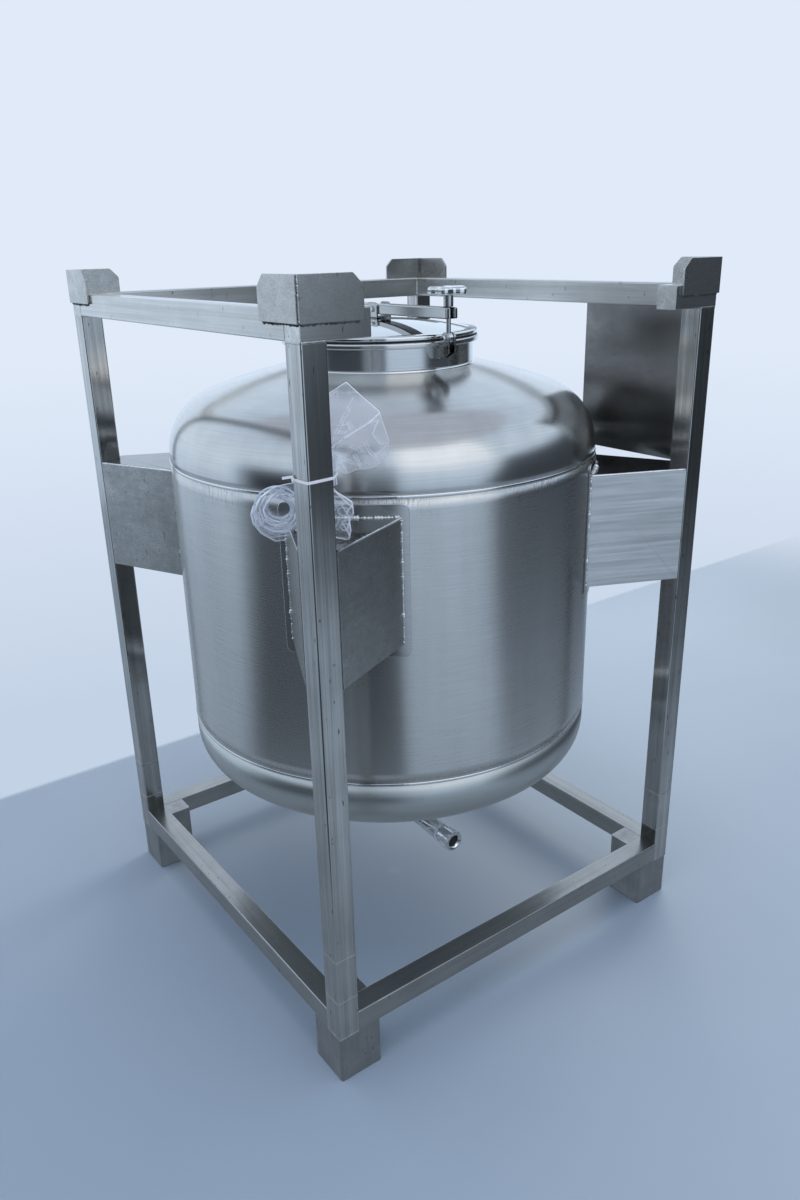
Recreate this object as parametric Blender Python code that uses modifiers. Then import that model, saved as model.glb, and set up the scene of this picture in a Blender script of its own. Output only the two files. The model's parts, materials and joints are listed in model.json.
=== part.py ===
"""Stainless storage tank on brackets inside a square stackable frame of tube.

Metres, +Z up. The origin is the middle of the footprint on the floor, and the open
side of the frame, with the outlet and the swing bolt, faces -Y.
"""
import math

import bmesh
import bpy
from mathutils import Matrix

# Gap that touching pieces keep between them
GAP = 0.0003

# Frame of square tube
FRAME_WIDTH = 1.050
POST_WIDTH = 0.050
TUBE_RADIUS = 0.004
FOOT_WIDTH = 0.105
FOOT_TOP = 0.163
FRAME_TOP = 1.577
STUB_REACH = 0.136
LUG_LENGTH = 0.126
LUG_THICKNESS = 0.005
LUG_BOTTOM = 1.556
LUG_TOP = 1.630
LUG_CORNER = 0.014

# Plain plate in the right face, under the rail and beside the post
PANEL_WIDTH = 0.320
PANEL_THICKNESS = 0.004

# Vessel
VESSEL_RADIUS = 0.500
VESSEL_STEPS = 72
WALL = 0.004
SEAM_TOP = 1.217
SEAM_BOTTOM = 0.583
TOP_STRAIGHT = 0.013
TOP_KNUCKLE = 0.140
TOP_CROWN = 1.190
BOTTOM_STRAIGHT = 0.045
BOTTOM_KNUCKLE = 0.090
BOTTOM_CROWN = 1.000

# Brackets between the posts and the vessel
BRACKET_TOP = 1.178
BRACKET_BOTTOM = 0.912
BRACKET_PLATE = 0.004
BRACKET_SPREAD = 13.5
PAD_THICKNESS = 0.003
PAD_SPREAD = 15.0
PAD_TOP = 1.205
PAD_BOTTOM = 0.885

# Manway: neck with its flange, gasket and domed lid
NECK_RADIUS = 0.2145
NECK_WALL = 0.003
NECK_BOTTOM = 1.402
FLANGE_RADIUS = 0.227
FLANGE_BOTTOM = 1.4625
FLANGE_TOP = 1.4755
GASKET_RADIUS = 0.2235
GASKET_THICKNESS = 0.003
LID_RADIUS = 0.2255
LID_RIM_TOP = 1.489
LID_DOME_RADIUS = 0.205
LID_RISE = 0.024
LID_WALL = 0.003
RIM_CHAMFER = 0.003

# Clamp arm over the lid, its hinge behind and its swing bolt in front
ARM_WIDTH = 0.032
ARM_BOTTOM = 1.5215
ARM_TOP = 1.5440
ARM_FRONT = -0.262
ARM_REAR = 0.266
FORK_SLOT = 0.014
FORK_DEPTH = 0.026
CROSS_HEIGHT = (ARM_BOTTOM + ARM_TOP) / 2
EAR_REACH = 0.250
EAR_ROUND = 0.0125
EAR_BOTTOM = 1.4375
EAR_SHOULDER = 1.470
EAR_TOE = 0.235
EAR_FLANGE_ROOM = 0.001
EAR_PLATE = 0.004
LUG_PLATE_DEPTH = 0.037
LUG_PLATE_TOP = 1.548
PIVOT_HEIGHT = 1.482
EAR_SLOT = 0.013
EYE_RADIUS = 0.011
EYE_WIDTH = 0.011
SHANK_RADIUS = 0.005
SHANK_TOP = 1.578
PIN_RADIUS = 0.004
PIN_HEAD = 0.007
PIN_TAIL = 0.003
HINGE_PIN_RADIUS = 0.005
HINGE_PIN_HEAD = 0.008
HINGE_PIN_HEAD_THICKNESS = 0.004
LUG_BOLT_HEAD_THICKNESS = 0.005
PIVOT_HEAD_THICKNESS = 0.007
KNOB_RADIUS = 0.043
KNOB_LOBE = 0.0055
KNOB_LOBES = 5
KNOB_BOTTOM = 1.569
KNOB_TOP = 1.586
HUB_RADIUS = 0.0105
HUB_BOTTOM = 1.5455

# Outlet below the vessel
OUTLET_HEIGHT = 0.237
OUTLET_RADIUS = 0.019
OUTLET_WALL = 0.0015
OUTLET_BEND = 0.057
OUTLET_WELD = 0.212
OUTLET_FACE = 0.265
FERRULE_RADIUS = 0.02525
FERRULE_RIM = 0.0028
FERRULE_TAPER = 0.0025

# Bag of spare fittings tied to the front left post
TIE_HEIGHT = 1.3035
TIE_WIDTH = 0.005
TIE_THICKNESS = 0.0015
BAG_NECK = (-0.4617, -0.4950)
BAG_NECK_RADIUS = 0.012
BAG_NECK_HALF = 0.014
# distance out along the corner's diagonal, distance across it, height, radius
BAG_BODY = [(0.570, -0.148, 1.222, 0.012), (0.576, -0.125, 1.224, 0.034), (0.592, -0.085, 1.228, 0.048),
            (0.602, -0.035, 1.233, 0.053), (0.612, 0.010, 1.236, 0.050), (0.640, 0.038, 1.255, 0.036)]
BAG_MOUTH = [(0.666, 0.038, 1.340, 0.022), (0.645, 0.054, 1.375, 0.033), (0.625, 0.066, 1.410, 0.037),
             (0.612, 0.073, 1.440, 0.038)]

HALF = FRAME_WIDTH / 2
STEP = 360.0 / VESSEL_STEPS
# how far a cutter reaches past what it cuts
OVERCUT = 0.01
# distances within which points of one mesh are merged
SCREW_MERGE = 0.0001
CAP_MERGE = 0.00001
CORNERS = {"front_left": (-1, -1), "front_right": (1, -1), "back_left": (-1, 1), "back_right": (1, 1)}
ALONG = {"x": Matrix.Rotation(math.radians(90), 4, "Y"),
         "y": Matrix.Rotation(math.radians(-90), 4, "X"),
         "z": Matrix.Identity(4)}


def new_collection(name):
    collection = bpy.data.collections.new(name)
    bpy.context.scene.collection.children.link(collection)
    return collection


def new_material(name, colour, roughness, metallic):
    mat = bpy.data.materials.new(name)
    mat.use_nodes = True
    shader = mat.node_tree.nodes["Principled BSDF"]
    shader.inputs["Base Color"].default_value = (*colour, 1)
    shader.inputs["Roughness"].default_value = roughness
    shader.inputs["Metallic"].default_value = metallic
    return mat


for old in list(bpy.data.objects):
    bpy.data.objects.remove(old, do_unlink=True)
PARTS = new_collection("storage_tank")
CUTTERS = new_collection("cutters")
TUBE = new_material("tube_steel", (0.52, 0.53, 0.54), 0.34, 1.0)
PLATE = new_material("plate_steel", (0.55, 0.56, 0.57), 0.38, 1.0)
SHEET = new_material("vessel_steel", (0.58, 0.58, 0.58), 0.30, 1.0)
BRIGHT = new_material("polished_steel", (0.72, 0.72, 0.72), 0.12, 1.0)
RUBBER = new_material("gasket_rubber", (0.02, 0.02, 0.02), 0.70, 0.0)
FILM = new_material("bag_film", (0.75, 0.77, 0.80), 0.20, 0.0)
NYLON = new_material("tie_nylon", (0.85, 0.85, 0.83), 0.45, 0.0)


def place(obj, mat):
    """Links an object and gives it its material."""
    PARTS.objects.link(obj)
    obj.data.materials.append(mat)
    return obj


def prism(name, outlines, thickness, mat, matrix):
    """Extrudes flat outlines along local Z, with the matrix at the middle of the thickness."""
    curve = bpy.data.curves.new(name, "CURVE")
    curve.dimensions = "2D"
    curve.fill_mode = "BOTH"
    curve.extrude = thickness / 2
    for outline in outlines:
        spline = curve.splines.new("POLY")
        spline.points.add(len(outline) - 1)
        for point, (x, y) in zip(spline.points, outline):
            point.co = (x, y, 0, 1)
        spline.use_cyclic_u = True
    obj = bpy.data.objects.new(name, curve)
    obj.matrix_world = matrix
    return place(obj, mat)


def upright(name, outline, low, high, mat, holes=()):
    """A plan outline that stands between two heights."""
    middle = Matrix.Translation((0, 0, (low + high) / 2))
    return prism(name, [outline, *holes], high - low, mat, middle)


def arc(centre, radius, start, end, steps):
    """Points along an arc, with angles in degrees."""
    angles = [math.radians(start + (end - start) * i / steps) for i in range(steps + 1)]
    return [(centre[0] + radius * math.cos(a), centre[1] + radius * math.sin(a)) for a in angles]


def rounded_square(width, radius):
    inner = width / 2 - radius
    points = []
    for quarter, (sx, sy) in enumerate([(1, 1), (-1, 1), (-1, -1), (1, -1)]):
        points += arc((sx * inner, sy * inner), radius, 90 * quarter, 90 * quarter + 90, 2)
    return points


def tube_bar(name, width, length, centre, axis):
    """A length of square tube with rounded edges, solid here."""
    matrix = Matrix.Translation(centre) @ ALONG[axis]
    return prism(name, [rounded_square(width, TUBE_RADIUS)], length, TUBE, matrix)


def turned(name, profile, mat, matrix, closed, steps=VESSEL_STEPS):
    """Turns a profile of (radius, height) points about local Z. It runs down its outer side."""
    mesh = bpy.data.meshes.new(name)
    count = len(profile)
    edges = [(i, (i + 1) % count) for i in range(count if closed else count - 1)]
    mesh.from_pydata([(r, 0, z) for r, z in profile], edges, [])
    obj = place(bpy.data.objects.new(name, mesh), mat)
    obj.matrix_world = matrix
    screw = obj.modifiers.new("Turn", "SCREW")
    screw.steps = screw.render_steps = steps
    screw.use_merge_vertices = True
    screw.merge_threshold = SCREW_MERGE
    screw.use_smooth_shade = True
    return obj


def as_mesh(obj):
    """Replaces a curve or a modified object with its finished mesh, so that it can be cut."""
    evaluated = obj.evaluated_get(bpy.context.evaluated_depsgraph_get())
    mesh = bpy.data.meshes.new_from_object(evaluated)
    welded = bmesh.new()
    welded.from_mesh(mesh)
    bmesh.ops.remove_doubles(welded, verts=welded.verts, dist=CAP_MERGE)
    welded.to_mesh(mesh)
    welded.free()
    name = obj.name
    matrix = obj.matrix_world.copy()
    bpy.data.objects.remove(obj, do_unlink=True)
    solid = bpy.data.objects.new(name, mesh)
    solid.matrix_world = matrix
    PARTS.objects.link(solid)
    return solid


def as_cutter(obj):
    """Makes a solid a helper that only shapes another one."""
    solid = as_mesh(obj)
    PARTS.objects.unlink(solid)
    CUTTERS.objects.link(solid)
    solid.hide_render = True
    solid.display_type = "WIRE"
    return solid


def combine(obj, helper, operation):
    boolean = obj.modifiers.new(operation.title(), "BOOLEAN")
    boolean.solver = "EXACT"
    boolean.operation = operation
    boolean.object = helper


def rod(name, radius, length, centre, axis, mat=BRIGHT, steps=16):
    matrix = Matrix.Translation(centre) @ ALONG[axis]
    profile = [(0, length / 2), (radius, length / 2), (radius, -length / 2), (0, -length / 2)]
    return turned(name, profile, mat, matrix, closed=False, steps=steps)


def mirrored(outline, corner):
    """Moves an outline drawn in the +X +Y corner to another corner."""
    sx, sy = CORNERS[corner]
    return [(sx * x, sy * y) for x, y in outline]


def frame_bars():
    """Feet, posts, rails and two stubs that stiffen the open side.

    The back rail and the stubs lie on the posts, and the side rails run between them.
    """
    foot_centre = HALF - FOOT_WIDTH / 2
    post_centre = HALF - POST_WIDTH / 2
    post_low = FOOT_TOP + GAP
    post_high = FRAME_TOP - POST_WIDTH - GAP
    for corner, (sx, sy) in CORNERS.items():
        tube_bar("foot_" + corner, FOOT_WIDTH, FOOT_TOP,
                 (sx * foot_centre, sy * foot_centre, FOOT_TOP / 2), "z")
        tube_bar("post_" + corner, POST_WIDTH, post_high - post_low,
                 (sx * post_centre, sy * post_centre, (post_low + post_high) / 2), "z")
    low = FOOT_TOP - POST_WIDTH / 2
    high = FRAME_TOP - POST_WIDTH / 2
    low_length = FRAME_WIDTH - 2 * (FOOT_WIDTH + GAP)
    between_posts = FRAME_WIDTH - 2 * (POST_WIDTH + GAP)
    sides = {"left": (-post_centre, 0, "y"), "right": (post_centre, 0, "y"),
             "back": (0, post_centre, "x"), "front": (0, -post_centre, "x")}
    for side, (x, y, axis) in sides.items():
        tube_bar("bottom_rail_" + side, POST_WIDTH, low_length, (x, y, low), axis)
        if side in ("left", "right"):
            tube_bar("top_rail_" + side, POST_WIDTH, between_posts, (x, y, high), axis)
    tube_bar("top_rail_back", POST_WIDTH, FRAME_WIDTH, (0, post_centre, high), "x")
    for side, sx in (("left", -1), ("right", 1)):
        middle = HALF - STUB_REACH / 2
        tube_bar("stub_" + side, POST_WIDTH, STUB_REACH, (sx * middle, -post_centre, high), "x")


def stacking_lugs():
    """Angles of plate that guide the feet of the tank above, with their top outer corners rounded."""
    inner = HALF + GAP
    outer = inner + LUG_THICKNESS
    end = outer - LUG_LENGTH
    angle = [(outer, outer), (end, outer), (end, inner), (inner, inner), (inner, end), (outer, end)]
    for corner in CORNERS:
        lug = as_mesh(upright("lug_" + corner, mirrored(angle, corner), LUG_BOTTOM, LUG_TOP, PLATE))
        half_height = (LUG_TOP - LUG_BOTTOM) / 2
        mesh = lug.data
        weight = mesh.attributes.new("bevel_weight_edge", "FLOAT", "EDGE")
        for edge in mesh.edges:
            ends = [mesh.vertices[i].co for i in edge.vertices]
            on_top = all(point.z > half_height - GAP for point in ends)
            at_end = all(min(abs(point.x), abs(point.y)) < end + GAP for point in ends)
            is_short = (ends[0] - ends[1]).length < 2 * LUG_THICKNESS
            weight.data[edge.index].value = 1.0 if on_top and at_end and is_short else 0.0
        bevel = lug.modifiers.new("Round corners", "BEVEL")
        bevel.limit_method = "WEIGHT"
        bevel.width = LUG_CORNER
        bevel.segments = 3


def panel():
    """Bare plate flush with the right face."""
    post_face = HALF - POST_WIDTH - GAP
    low = BRACKET_TOP
    high = FRAME_TOP - POST_WIDTH - GAP
    bpy.ops.mesh.primitive_cube_add(size=1)
    plate = bpy.context.object
    plate.name = "panel"
    plate.data.name = "panel"
    for collection in list(plate.users_collection):
        collection.objects.unlink(plate)
    size = (PANEL_THICKNESS, PANEL_WIDTH, high - low)
    centre = (HALF - PANEL_THICKNESS / 2, -post_face + PANEL_WIDTH / 2, (low + high) / 2)
    plate.data.transform(Matrix.Diagonal((*size, 1)))
    plate.location = centre
    place(plate, PLATE)


def line_meets(point, direction, normal, distance):
    """Where a plan line meets the line at a distance from the origin along a normal."""
    reach = distance - point[0] * normal[0] - point[1] * normal[1]
    step = reach / (direction[0] * normal[0] + direction[1] * normal[1])
    return (point[0] + step * direction[0], point[1] + step * direction[1])


def brackets():
    """Hollow brackets: two plates from each post to the vessel, a cover and a pad on the shell."""
    pad_inner = VESSEL_RADIUS + GAP
    pad_outer = pad_inner + PAD_THICKNESS
    pad_steps = round(2 * PAD_SPREAD / STEP)
    pad = (arc((0, 0), pad_outer, 45 - PAD_SPREAD, 45 + PAD_SPREAD, pad_steps)
           + arc((0, 0), pad_inner, 45 + PAD_SPREAD, 45 - PAD_SPREAD, pad_steps))

    post_face = HALF - POST_WIDTH
    contact = math.radians(45 + BRACKET_SPREAD)
    start = (post_face, HALF)
    run = (VESSEL_RADIUS * math.cos(contact) - start[0], VESSEL_RADIUS * math.sin(contact) - start[1])
    length = math.hypot(*run)
    along = (run[0] / length, run[1] / length)
    inward = (-along[1], along[0])
    start_inside = (start[0] + BRACKET_PLATE * inward[0], start[1] + BRACKET_PLATE * inward[1])

    # the pad is faceted like the shell, so a plate ends on the straight facet that it meets
    facet_distance = pad_outer * math.cos(math.radians(STEP / 2)) + GAP
    facet_angle = math.radians(math.floor((45 + BRACKET_SPREAD) / STEP) * STEP + STEP / 2)
    facet = (math.cos(facet_angle), math.sin(facet_angle))
    side = [line_meets(start, along, (1, 0), post_face - GAP),
            line_meets(start, along, facet, facet_distance),
            line_meets(start_inside, along, facet, facet_distance),
            line_meets(start_inside, along, (1, 0), post_face - GAP)]
    other_side = [(y, x) for x, y in side]
    ring = facet_distance / math.cos(math.radians(STEP / 2))
    ring_reach = math.floor(BRACKET_SPREAD / STEP) * STEP
    cover = ([side[0], side[1]]
             + arc((0, 0), ring, 45 + ring_reach, 45 - ring_reach, round(2 * ring_reach / STEP))
             + [other_side[1], other_side[0], (post_face - GAP, post_face - GAP)])

    under_cover = BRACKET_TOP - BRACKET_PLATE
    for corner in CORNERS:
        upright("pad_" + corner, mirrored(pad, corner), PAD_BOTTOM, PAD_TOP, PLATE)
        for letter, outline in (("a", side), ("b", other_side)):
            upright(f"bracket_{corner}_side_{letter}", mirrored(outline, corner),
                    BRACKET_BOTTOM, under_cover - GAP, PLATE)
        upright(f"bracket_{corner}_cover", mirrored(cover, corner), under_cover, BRACKET_TOP, PLATE)


def head_outline(straight, knuckle, crown, opening, inset):
    """A dished end above z = 0, from its opening out and down: crown, knuckle, straight edge."""
    knuckle_centre = VESSEL_RADIUS - knuckle
    fall = math.sqrt((crown - knuckle) ** 2 - knuckle_centre ** 2)
    crown_centre = straight - fall
    crown_start = 90 - math.degrees(math.asin(opening / (crown - inset)))
    tangent = math.degrees(math.atan2(fall, knuckle_centre))
    points = arc((0, crown_centre), crown - inset, crown_start, tangent, 5)
    points += arc((knuckle_centre, straight), knuckle - inset, tangent, 0, 5)[1:]
    return points + [(VESSEL_RADIUS - inset, 0)]


def vessel():
    """Rolled shell with a dished end above and below, each a wall thick and open at its fittings."""
    identity = Matrix.Identity(4)
    inside = VESSEL_RADIUS - WALL
    shell = [(VESSEL_RADIUS, SEAM_TOP - GAP), (VESSEL_RADIUS, SEAM_BOTTOM + GAP),
             (inside, SEAM_BOTTOM + GAP), (inside, SEAM_TOP - GAP)]
    turned("shell", shell, SHEET, identity, closed=True)

    facet_room = GAP / math.cos(math.radians(STEP / 2))
    top = (TOP_STRAIGHT, TOP_KNUCKLE, TOP_CROWN, NECK_RADIUS + facet_room)
    outline = head_outline(*top, 0) + head_outline(*top, WALL)[::-1]
    turned("top_head", outline, SHEET, Matrix.Translation((0, 0, SEAM_TOP)), closed=True)

    bottom = (BOTTOM_STRAIGHT, BOTTOM_KNUCKLE, BOTTOM_CROWN, OUTLET_RADIUS + 2 * GAP)
    outline = head_outline(*bottom, 0) + head_outline(*bottom, WALL)[::-1]
    hanging = [(radius, -height) for radius, height in outline[::-1]]
    turned("bottom_head", hanging, SHEET, Matrix.Translation((0, 0, SEAM_BOTTOM)), closed=True)


def manway():
    """Neck and flange, gasket, and a lid pressed to a shallow dome."""
    identity = Matrix.Identity(4)
    bore = NECK_RADIUS - NECK_WALL
    neck = [(FLANGE_RADIUS - RIM_CHAMFER, FLANGE_TOP), (FLANGE_RADIUS, FLANGE_TOP - RIM_CHAMFER),
            (FLANGE_RADIUS, FLANGE_BOTTOM + RIM_CHAMFER), (FLANGE_RADIUS - RIM_CHAMFER, FLANGE_BOTTOM),
            (NECK_RADIUS, FLANGE_BOTTOM), (NECK_RADIUS, NECK_BOTTOM), (bore, NECK_BOTTOM), (bore, FLANGE_TOP)]
    turned("manway_neck", neck, BRIGHT, identity, closed=True)

    low = FLANGE_TOP + GAP
    high = low + GASKET_THICKNESS
    ring = [(GASKET_RADIUS, high), (GASKET_RADIUS, low), (bore, low), (bore, high)]
    turned("manway_gasket", ring, RUBBER, identity, closed=True)

    rim_low = high + GAP
    sphere = (LID_DOME_RADIUS ** 2 + LID_RISE ** 2) / (2 * LID_RISE)
    centre = (0, LID_RIM_TOP + LID_RISE - sphere)
    spread = math.degrees(math.asin(LID_DOME_RADIUS / sphere))
    dome = arc(centre, sphere, 90, 90 - spread, 5)
    under = arc(centre, sphere - LID_WALL, 90 - spread, 90, 5)
    rim = [(LID_RADIUS - RIM_CHAMFER, LID_RIM_TOP), (LID_RADIUS, LID_RIM_TOP - RIM_CHAMFER),
           (LID_RADIUS, rim_low), (LID_DOME_RADIUS, rim_low)]
    turned("lid", dome + rim + under, BRIGHT, identity, closed=False)


def pin(name, centre, radius, grip, head_radius, head):
    """A pin along X through plates that are grip wide, with a round head at both ends."""
    reach = grip / 2 + GAP
    profile = [(0, reach + head), (head_radius, reach + head), (head_radius, reach), (radius, reach),
               (radius, -reach), (head_radius, -reach), (head_radius, -reach - head), (0, -reach - head)]
    return turned(name, profile, BRIGHT, Matrix.Translation(centre) @ ALONG["x"], closed=False, steps=16)


def ear_bracket(name, slot, pivot, facing, hole):
    """Two ears joined by a foot on the neck: one wide block with a slot and a pin hole cut through."""
    width = slot + 2 * EAR_PLATE
    foot = NECK_RADIUS + GAP
    under_flange = FLANGE_BOTTOM - GAP
    outline = [(foot, EAR_BOTTOM), (foot, under_flange), (FLANGE_RADIUS + EAR_FLANGE_ROOM, under_flange)]
    outline += arc((EAR_REACH, pivot), EAR_ROUND, 180, 0, 8)
    outline += [(EAR_REACH + EAR_ROUND, EAR_SHOULDER), (EAR_TOE, EAR_BOTTOM)]
    across = Matrix.Rotation(math.radians(90), 4, "X")
    block = as_mesh(prism(name, [outline], width, BRIGHT, Matrix.Rotation(facing, 4, "Z") @ across))
    turn = Matrix.Rotation(facing, 4, "Z")
    foot_plate = foot + EAR_PLATE
    outside = EAR_REACH + 2 * EAR_ROUND
    gap = [(foot_plate, -slot / 2), (outside, -slot / 2), (outside, slot / 2), (foot_plate, slot / 2)]
    cutter = upright(name + "_slot", gap, EAR_BOTTOM - OVERCUT, pivot + 2 * EAR_ROUND, BRIGHT)
    cutter.matrix_world = turn @ cutter.matrix_world
    combine(block, as_cutter(cutter), "DIFFERENCE")
    centre = turn @ Matrix.Translation((EAR_REACH, 0, pivot))
    drill = rod(name + "_drill", hole, 2 * width, centre.translation, "x")
    combine(block, as_cutter(drill), "DIFFERENCE")


def clamp_arm():
    """Flat bar from the rear hinge over the lid to the fork, with its hinge, lug, bolt and pins."""
    half = ARM_WIDTH / 2
    slot = FORK_SLOT / 2
    slot_end = ARM_FRONT + FORK_DEPTH
    outline = [(half, ARM_REAR), (-half, ARM_REAR), (-half, ARM_FRONT), (-slot, ARM_FRONT)]
    outline += arc((0, slot_end), slot, 180, 0, 6)
    outline += [(slot, ARM_FRONT), (half, ARM_FRONT)]
    arm = as_mesh(upright("clamp_arm", outline, ARM_BOTTOM, ARM_TOP, BRIGHT))
    for name, y, radius in (("hinge_drill", EAR_REACH, HINGE_PIN_RADIUS), ("lug_drill", 0, PIN_RADIUS)):
        drill = rod(name, radius + GAP, 2 * ARM_WIDTH, (0, y, CROSS_HEIGHT), "x")
        combine(arm, as_cutter(drill), "DIFFERENCE")

    side_slot = ARM_WIDTH + 2 * GAP
    ear_bracket("arm_hinge", side_slot, CROSS_HEIGHT, math.radians(90), HINGE_PIN_RADIUS + GAP)
    pin("arm_hinge_pin", (0, EAR_REACH, CROSS_HEIGHT), HINGE_PIN_RADIUS, side_slot + 2 * EAR_PLATE,
        HINGE_PIN_HEAD, HINGE_PIN_HEAD_THICKNESS)

    foot = LID_RIM_TOP + LID_RISE + GAP
    outer = side_slot / 2 + EAR_PLATE
    inner = side_slot / 2
    floor = foot + LID_WALL
    clevis = [(-outer, foot), (outer, foot), (outer, LUG_PLATE_TOP), (inner, LUG_PLATE_TOP),
              (inner, floor), (-inner, floor), (-inner, LUG_PLATE_TOP), (-outer, LUG_PLATE_TOP)]
    standing = Matrix.Rotation(math.radians(90), 4, "X")
    lug = as_mesh(prism("lid_lug", [clevis], LUG_PLATE_DEPTH, BRIGHT, standing))
    drill = rod("clevis_drill", PIN_RADIUS + GAP, 2 * ARM_WIDTH, (0, 0, CROSS_HEIGHT), "x")
    combine(lug, as_cutter(drill), "DIFFERENCE")
    pin("lid_lug_bolt", (0, 0, CROSS_HEIGHT), PIN_RADIUS, 2 * outer, PIN_HEAD, LUG_BOLT_HEAD_THICKNESS)


def swing_bolt():
    """Eye bolt that turns on a pin between the ears, and the lobed hand knob on its thread."""
    ear_bracket("bolt_ears", EAR_SLOT, PIVOT_HEIGHT, math.radians(-90), PIN_RADIUS + GAP)
    pivot = Matrix.Translation((0, -EAR_REACH, PIVOT_HEIGHT))
    ear_face = EAR_SLOT / 2 + EAR_PLATE + GAP
    eye = EYE_WIDTH / 2
    tail = ear_face + PIN_TAIL
    head = -ear_face - PIVOT_HEAD_THICKNESS
    profile = [(0, tail), (PIN_RADIUS, tail), (PIN_RADIUS, eye), (EYE_RADIUS, eye),
               (EYE_RADIUS, -eye), (PIN_RADIUS, -eye), (PIN_RADIUS, -ear_face), (PIN_HEAD, -ear_face),
               (PIN_HEAD, head), (0, head)]
    pin_and_eye = turned("pin_and_eye", profile, BRIGHT, pivot @ ALONG["x"], closed=False, steps=24)
    shank_length = SHANK_TOP - PIVOT_HEIGHT
    shank = as_mesh(rod("swing_bolt", SHANK_RADIUS, shank_length, (0, 0, 0), "z", steps=24))
    shank.data.transform(Matrix.Translation((0, 0, shank_length / 2)))
    shank.matrix_world = pivot
    combine(shank, as_cutter(pin_and_eye), "UNION")

    height = KNOB_TOP - KNOB_BOTTOM
    points = 60
    lobed = []
    for i in range(points):
        angle = 2 * math.pi * i / points
        radius = KNOB_RADIUS - KNOB_LOBE + KNOB_LOBE * math.cos(KNOB_LOBES * angle)
        lobed.append((radius * math.cos(angle), radius * math.sin(angle)))
    stand = Matrix.Translation((0, -EAR_REACH, KNOB_BOTTOM + height / 2))
    knob = as_mesh(prism("hand_knob", [lobed], height, BRIGHT, stand))
    hub_length = KNOB_BOTTOM - HUB_BOTTOM + height / 2
    hub_centre = (0, -EAR_REACH, HUB_BOTTOM + hub_length / 2)
    combine(knob, as_cutter(rod("hub", HUB_RADIUS, hub_length, hub_centre, "z", steps=24)), "UNION")
    bore_top = SHANK_TOP + GAP
    bore_length = bore_top - HUB_BOTTOM + OVERCUT
    bore_centre = (0, -EAR_REACH, bore_top - bore_length / 2)
    bore = rod("bore", SHANK_RADIUS + GAP, bore_length, bore_centre, "z", steps=24)
    combine(knob, as_cutter(bore), "DIFFERENCE")


def outlet():
    """Thin tube from the lowest point of the vessel round a bend to a clamp ferrule."""
    head_bottom = SEAM_BOTTOM - head_outline(BOTTOM_STRAIGHT, BOTTOM_KNUCKLE, BOTTOM_CROWN, 0, 0)[0][1]
    route = [(0, head_bottom + WALL)]
    route += arc((-OUTLET_BEND, OUTLET_HEIGHT + OUTLET_BEND), OUTLET_BEND, 0, -90, 8)
    route += [(-OUTLET_WELD + GAP, OUTLET_HEIGHT)]
    curve = bpy.data.curves.new("outlet_elbow", "CURVE")
    curve.dimensions = "3D"
    curve.bevel_depth = OUTLET_RADIUS
    curve.bevel_resolution = 8
    spline = curve.splines.new("POLY")
    spline.points.add(len(route) - 1)
    for point, (y, z) in zip(spline.points, route):
        point.co = (0, y, z, 1)
    elbow = place(bpy.data.objects.new("outlet_elbow", curve), BRIGHT)
    wall = elbow.modifiers.new("Wall", "SOLIDIFY")
    wall.thickness = OUTLET_WALL
    wall.offset = -1

    length = OUTLET_FACE - OUTLET_WELD
    bore = OUTLET_RADIUS - OUTLET_WALL
    back = length - FERRULE_RIM
    profile = [(FERRULE_RADIUS, length), (FERRULE_RADIUS, back), (OUTLET_RADIUS, back - FERRULE_TAPER),
               (OUTLET_RADIUS, 0), (bore, 0), (bore, length)]
    facing = Matrix.Translation((0, -OUTLET_WELD, OUTLET_HEIGHT)) @ Matrix.Rotation(math.radians(90), 4, "X")
    turned("outlet_ferrule", profile, BRIGHT, facing, closed=True, steps=32)


def hull(points):
    """The convex outline round plan points, anticlockwise."""
    ordered = sorted(points)
    chains = []
    for row in (ordered, ordered[::-1]):
        chain = []
        for point in row:
            while len(chain) > 1:
                (ax, ay), (bx, by) = chain[-2:]
                if (bx - ax) * (point[1] - ay) - (by - ay) * (point[0] - ax) > 0:
                    break
                chain.pop()
            chain.append(point)
        chains += chain[:-1]
    return chains


def bag_and_tie():
    """Film bag gathered by a tie that also goes round the post. It lies on the bracket's cover."""
    post_corners = [(-HALF + a * POST_WIDTH, -HALF + b * POST_WIDTH) for a in (0, 1) for b in (0, 1)]
    loops = []
    for room in (GAP + TIE_THICKNESS, GAP):
        centre = POST_WIDTH / 2 - HALF
        square = [(x + math.copysign(room, x - centre), y + math.copysign(room, y - centre))
                  for x, y in post_corners]
        neck = arc(BAG_NECK, BAG_NECK_RADIUS + room, 0, 345, 23)
        loops.append(hull(square + neck))
    upright("cable_tie", loops[0], TIE_HEIGHT - TIE_WIDTH / 2, TIE_HEIGHT + TIE_WIDTH / 2, NYLON, [loops[1]])

    root = math.sqrt(2)
    neck_out = -(BAG_NECK[0] + BAG_NECK[1]) / root
    neck_across = (BAG_NECK[0] - BAG_NECK[1]) / root
    neck = [(neck_out, neck_across, TIE_HEIGHT - BAG_NECK_HALF, BAG_NECK_RADIUS),
            (neck_out, neck_across, TIE_HEIGHT + BAG_NECK_HALF, BAG_NECK_RADIUS)]
    stations = BAG_BODY + neck + BAG_MOUTH
    curve = bpy.data.curves.new("bag", "CURVE")
    curve.dimensions = "3D"
    curve.bevel_depth = 1.0
    curve.bevel_resolution = 4
    curve.use_fill_caps = True
    spline = curve.splines.new("POLY")
    spline.points.add(len(stations) - 1)
    for point, (out, across, height, radius) in zip(spline.points, stations):
        point.co = ((across - out) / root, (-across - out) / root, height, 1)
        point.radius = radius
    place(bpy.data.objects.new("bag", curve), FILM)


frame_bars()
stacking_lugs()
panel()
brackets()
vessel()
manway()
clamp_arm()
swing_bolt()
outlet()
bag_and_tie()
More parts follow.
